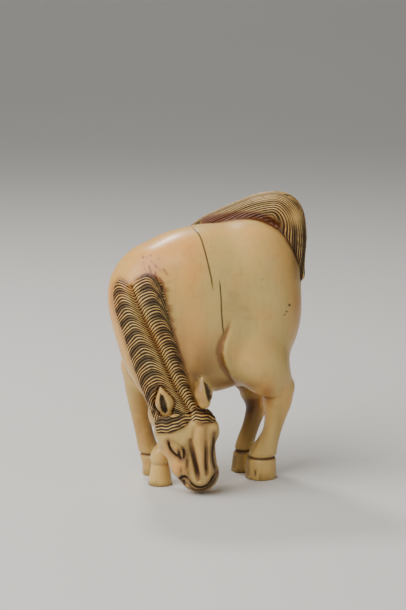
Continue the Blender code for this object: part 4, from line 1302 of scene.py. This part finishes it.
class NETSUKE_OT_finish(bpy.types.Operator):
    """Stands the horse on flat soles, thins its skin out and gives it its ivory"""
    bl_idname = "netsuke.finish"
    bl_label = "Soles and Ivory"

    def execute(self, context):
        horse = skin()
        choose(horse)
        bpy.ops.object.mode_set(mode="EDIT")
        bpy.ops.mesh.select_all(action="SELECT")
        bpy.ops.mesh.bisect(plane_co=(0, 0, 0), plane_no=(0, 0, 1), use_fill=True, clear_inner=True)
        bpy.ops.object.mode_set(mode="OBJECT")
        apply(horse, "TRIANGULATE")
        share = context.scene.horse_sizes.triangles / len(horse.data.polygons)
        if share < 1.0:
            points, normals = coordinates(horse.data)
            plain = ~(in_marked_zone(picture(points)[0]) & in_sight(points, normals))
            weigh(horse, "plain", plain.astype(float))
            apply(horse, "DECIMATE", ratio=share, vertex_group="plain")
            horse.vertex_groups.clear()
        self.fit(horse.data)
        choose(horse)
        bpy.ops.object.shade_smooth()
        horse.data.materials.clear()
        horse.data.materials.append(aged_ivory(context.scene.horse_colours))
        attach(horse, "root")
        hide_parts(NODE)
        return {"FINISHED"}

    @staticmethod
    def fit(mesh):
        """Gives the skin exactly the size and place of the solid that it stands for."""
        points, _ = coordinates(mesh)
        low, high = [np.array(corner) for corner in CAD_BOX]
        reach = points.max(axis=0) - points.min(axis=0)
        points = low + (points - points.min(axis=0)) * (high - low) / reach
        mesh.vertices.foreach_set("co", points.ravel())
        mesh.update()


class NETSUKE_OT_stage(bpy.types.Operator):
    """Lays the plain floor, sets the soft lights and the camera"""
    bl_idname = "netsuke.stage"
    bl_label = "Stage"

    def execute(self, context):
        stage = context.scene.netsuke_stage
        back = Vector(EYE_LINE)
        self.floor(stage, back)
        target = seen(VIEW_MIDDLE)
        camera = bpy.data.objects.new("camera", bpy.data.cameras.new("camera"))
        camera.data.lens = stage.lens / MM
        camera.data.clip_start = CAMERA_NEAR
        camera.location = target + back * stage.distance
        camera.rotation_euler = back.to_track_quat("Z", "Y").to_euler()
        context.scene.collection.objects.link(camera)
        context.scene.camera = camera
        for name, (across, towards, up, size) in LAMPS.items():
            place = target + RIGHT_LINE * across + back * towards + UP_LINE * up
            self.lamp(name, place, target, getattr(stage, name + "_power"), size)
        world = bpy.data.worlds.new("room")
        world.use_nodes = True
        sky = world.node_tree.nodes["Background"]
        sky.inputs["Color"].default_value = ROOM_COLOUR
        sky.inputs["Strength"].default_value = stage.room_light
        context.scene.world = world
        return {"FINISHED"}

    @staticmethod
    def floor(stage, back):
        """A plain sheet that curves up behind the horse."""
        bpy.ops.object.select_all(action="DESELECT")
        bpy.ops.mesh.primitive_grid_add(x_subdivisions=2, y_subdivisions=FLOOR_ROWS, size=1.0)
        sheet = bpy.context.object
        away = -Vector((back.x, back.y, 0.0)).normalized()
        across = Vector((-away.y, away.x, 0.0))
        for vertex in sheet.data.vertices:
            length = (vertex.co.y + 0.5) * FLOOR_LENGTH - FLOOR_FRONT
            bend = max(0.0, length - FLOOR_FLAT) / FLOOR_CURVE
            turn = min(bend, math.pi / 2)
            flat = min(length, FLOOR_FLAT) + FLOOR_CURVE * math.sin(turn)
            height = FLOOR_CURVE * (1 - math.cos(turn)) + FLOOR_CURVE * (bend - turn)
            vertex.co = away * flat + across * vertex.co.x * FLOOR_WIDTH + Vector((0.0, 0.0, height))
        sheet.name = "floor"
        bpy.ops.object.shade_smooth()
        # Matt pale paper, which has no gloss of its own to draw the eye from the ivory.
        paper = bpy.data.materials.new("matt_paper")
        paper.use_nodes = True
        shader = paper.node_tree.nodes["Principled BSDF"]
        shader.inputs["Base Color"].default_value = (*stage.floor_colour, 1.0)
        shader.inputs["Roughness"].default_value = FLOOR_ROUGHNESS
        sheet.data.materials.append(paper)

    @staticmethod
    def lamp(name, place, target, power, size):
        """A square soft light that looks at the horse."""
        light = bpy.data.lights.new(name, "AREA")
        light.energy = power
        light.size = size
        lamp = bpy.data.objects.new(name, light)
        lamp.location = place
        lamp.rotation_euler = (place - target).to_track_quat("Z", "Y").to_euler()
        bpy.context.scene.collection.objects.link(lamp)


class NETSUKE_PT_panel(bpy.types.Panel):
    """Lists the steps of the horse and its sizes and colours"""
    bl_idname = "NETSUKE_PT_panel"
    bl_label = "Grazing Horse"
    bl_space_type = "VIEW_3D"
    bl_region_type = "UI"
    bl_category = "Netsuke"

    def draw(self, context):
        for step in STEPS:
            self.layout.operator(step.bl_idname)
        for owner, kind in GROUPS.items():
            box = self.layout.box()
            for name in kind.__annotations__:
                box.prop(getattr(context.scene, owner), name)


STEPS = (NETSUKE_OT_form, NETSUKE_OT_carve, NETSUKE_OT_finish, NETSUKE_OT_stage)
GROUPS = {"horse_sizes": HorseSizes, "horse_colours": HorseColours, "netsuke_stage": StageSettings}
CLASSES = (*GROUPS.values(), *STEPS, NETSUKE_PT_panel)


def register():
    """Adds the horse's properties, operators and panel."""
    for entry in CLASSES:
        bpy.utils.register_class(entry)
    for owner, kind in GROUPS.items():
        setattr(bpy.types.Scene, owner, bpy.props.PointerProperty(type=kind))


def unregister():
    """Takes them away again."""
    for owner in GROUPS:
        delattr(bpy.types.Scene, owner)
    for entry in reversed(CLASSES):
        bpy.utils.unregister_class(entry)


def main():
    """Makes the horse and its stage."""
    register()
    bpy.ops.netsuke.form()
    bpy.ops.netsuke.carve()
    bpy.ops.netsuke.finish()
    bpy.ops.netsuke.stage()


if __name__ == "__main__":
    main()
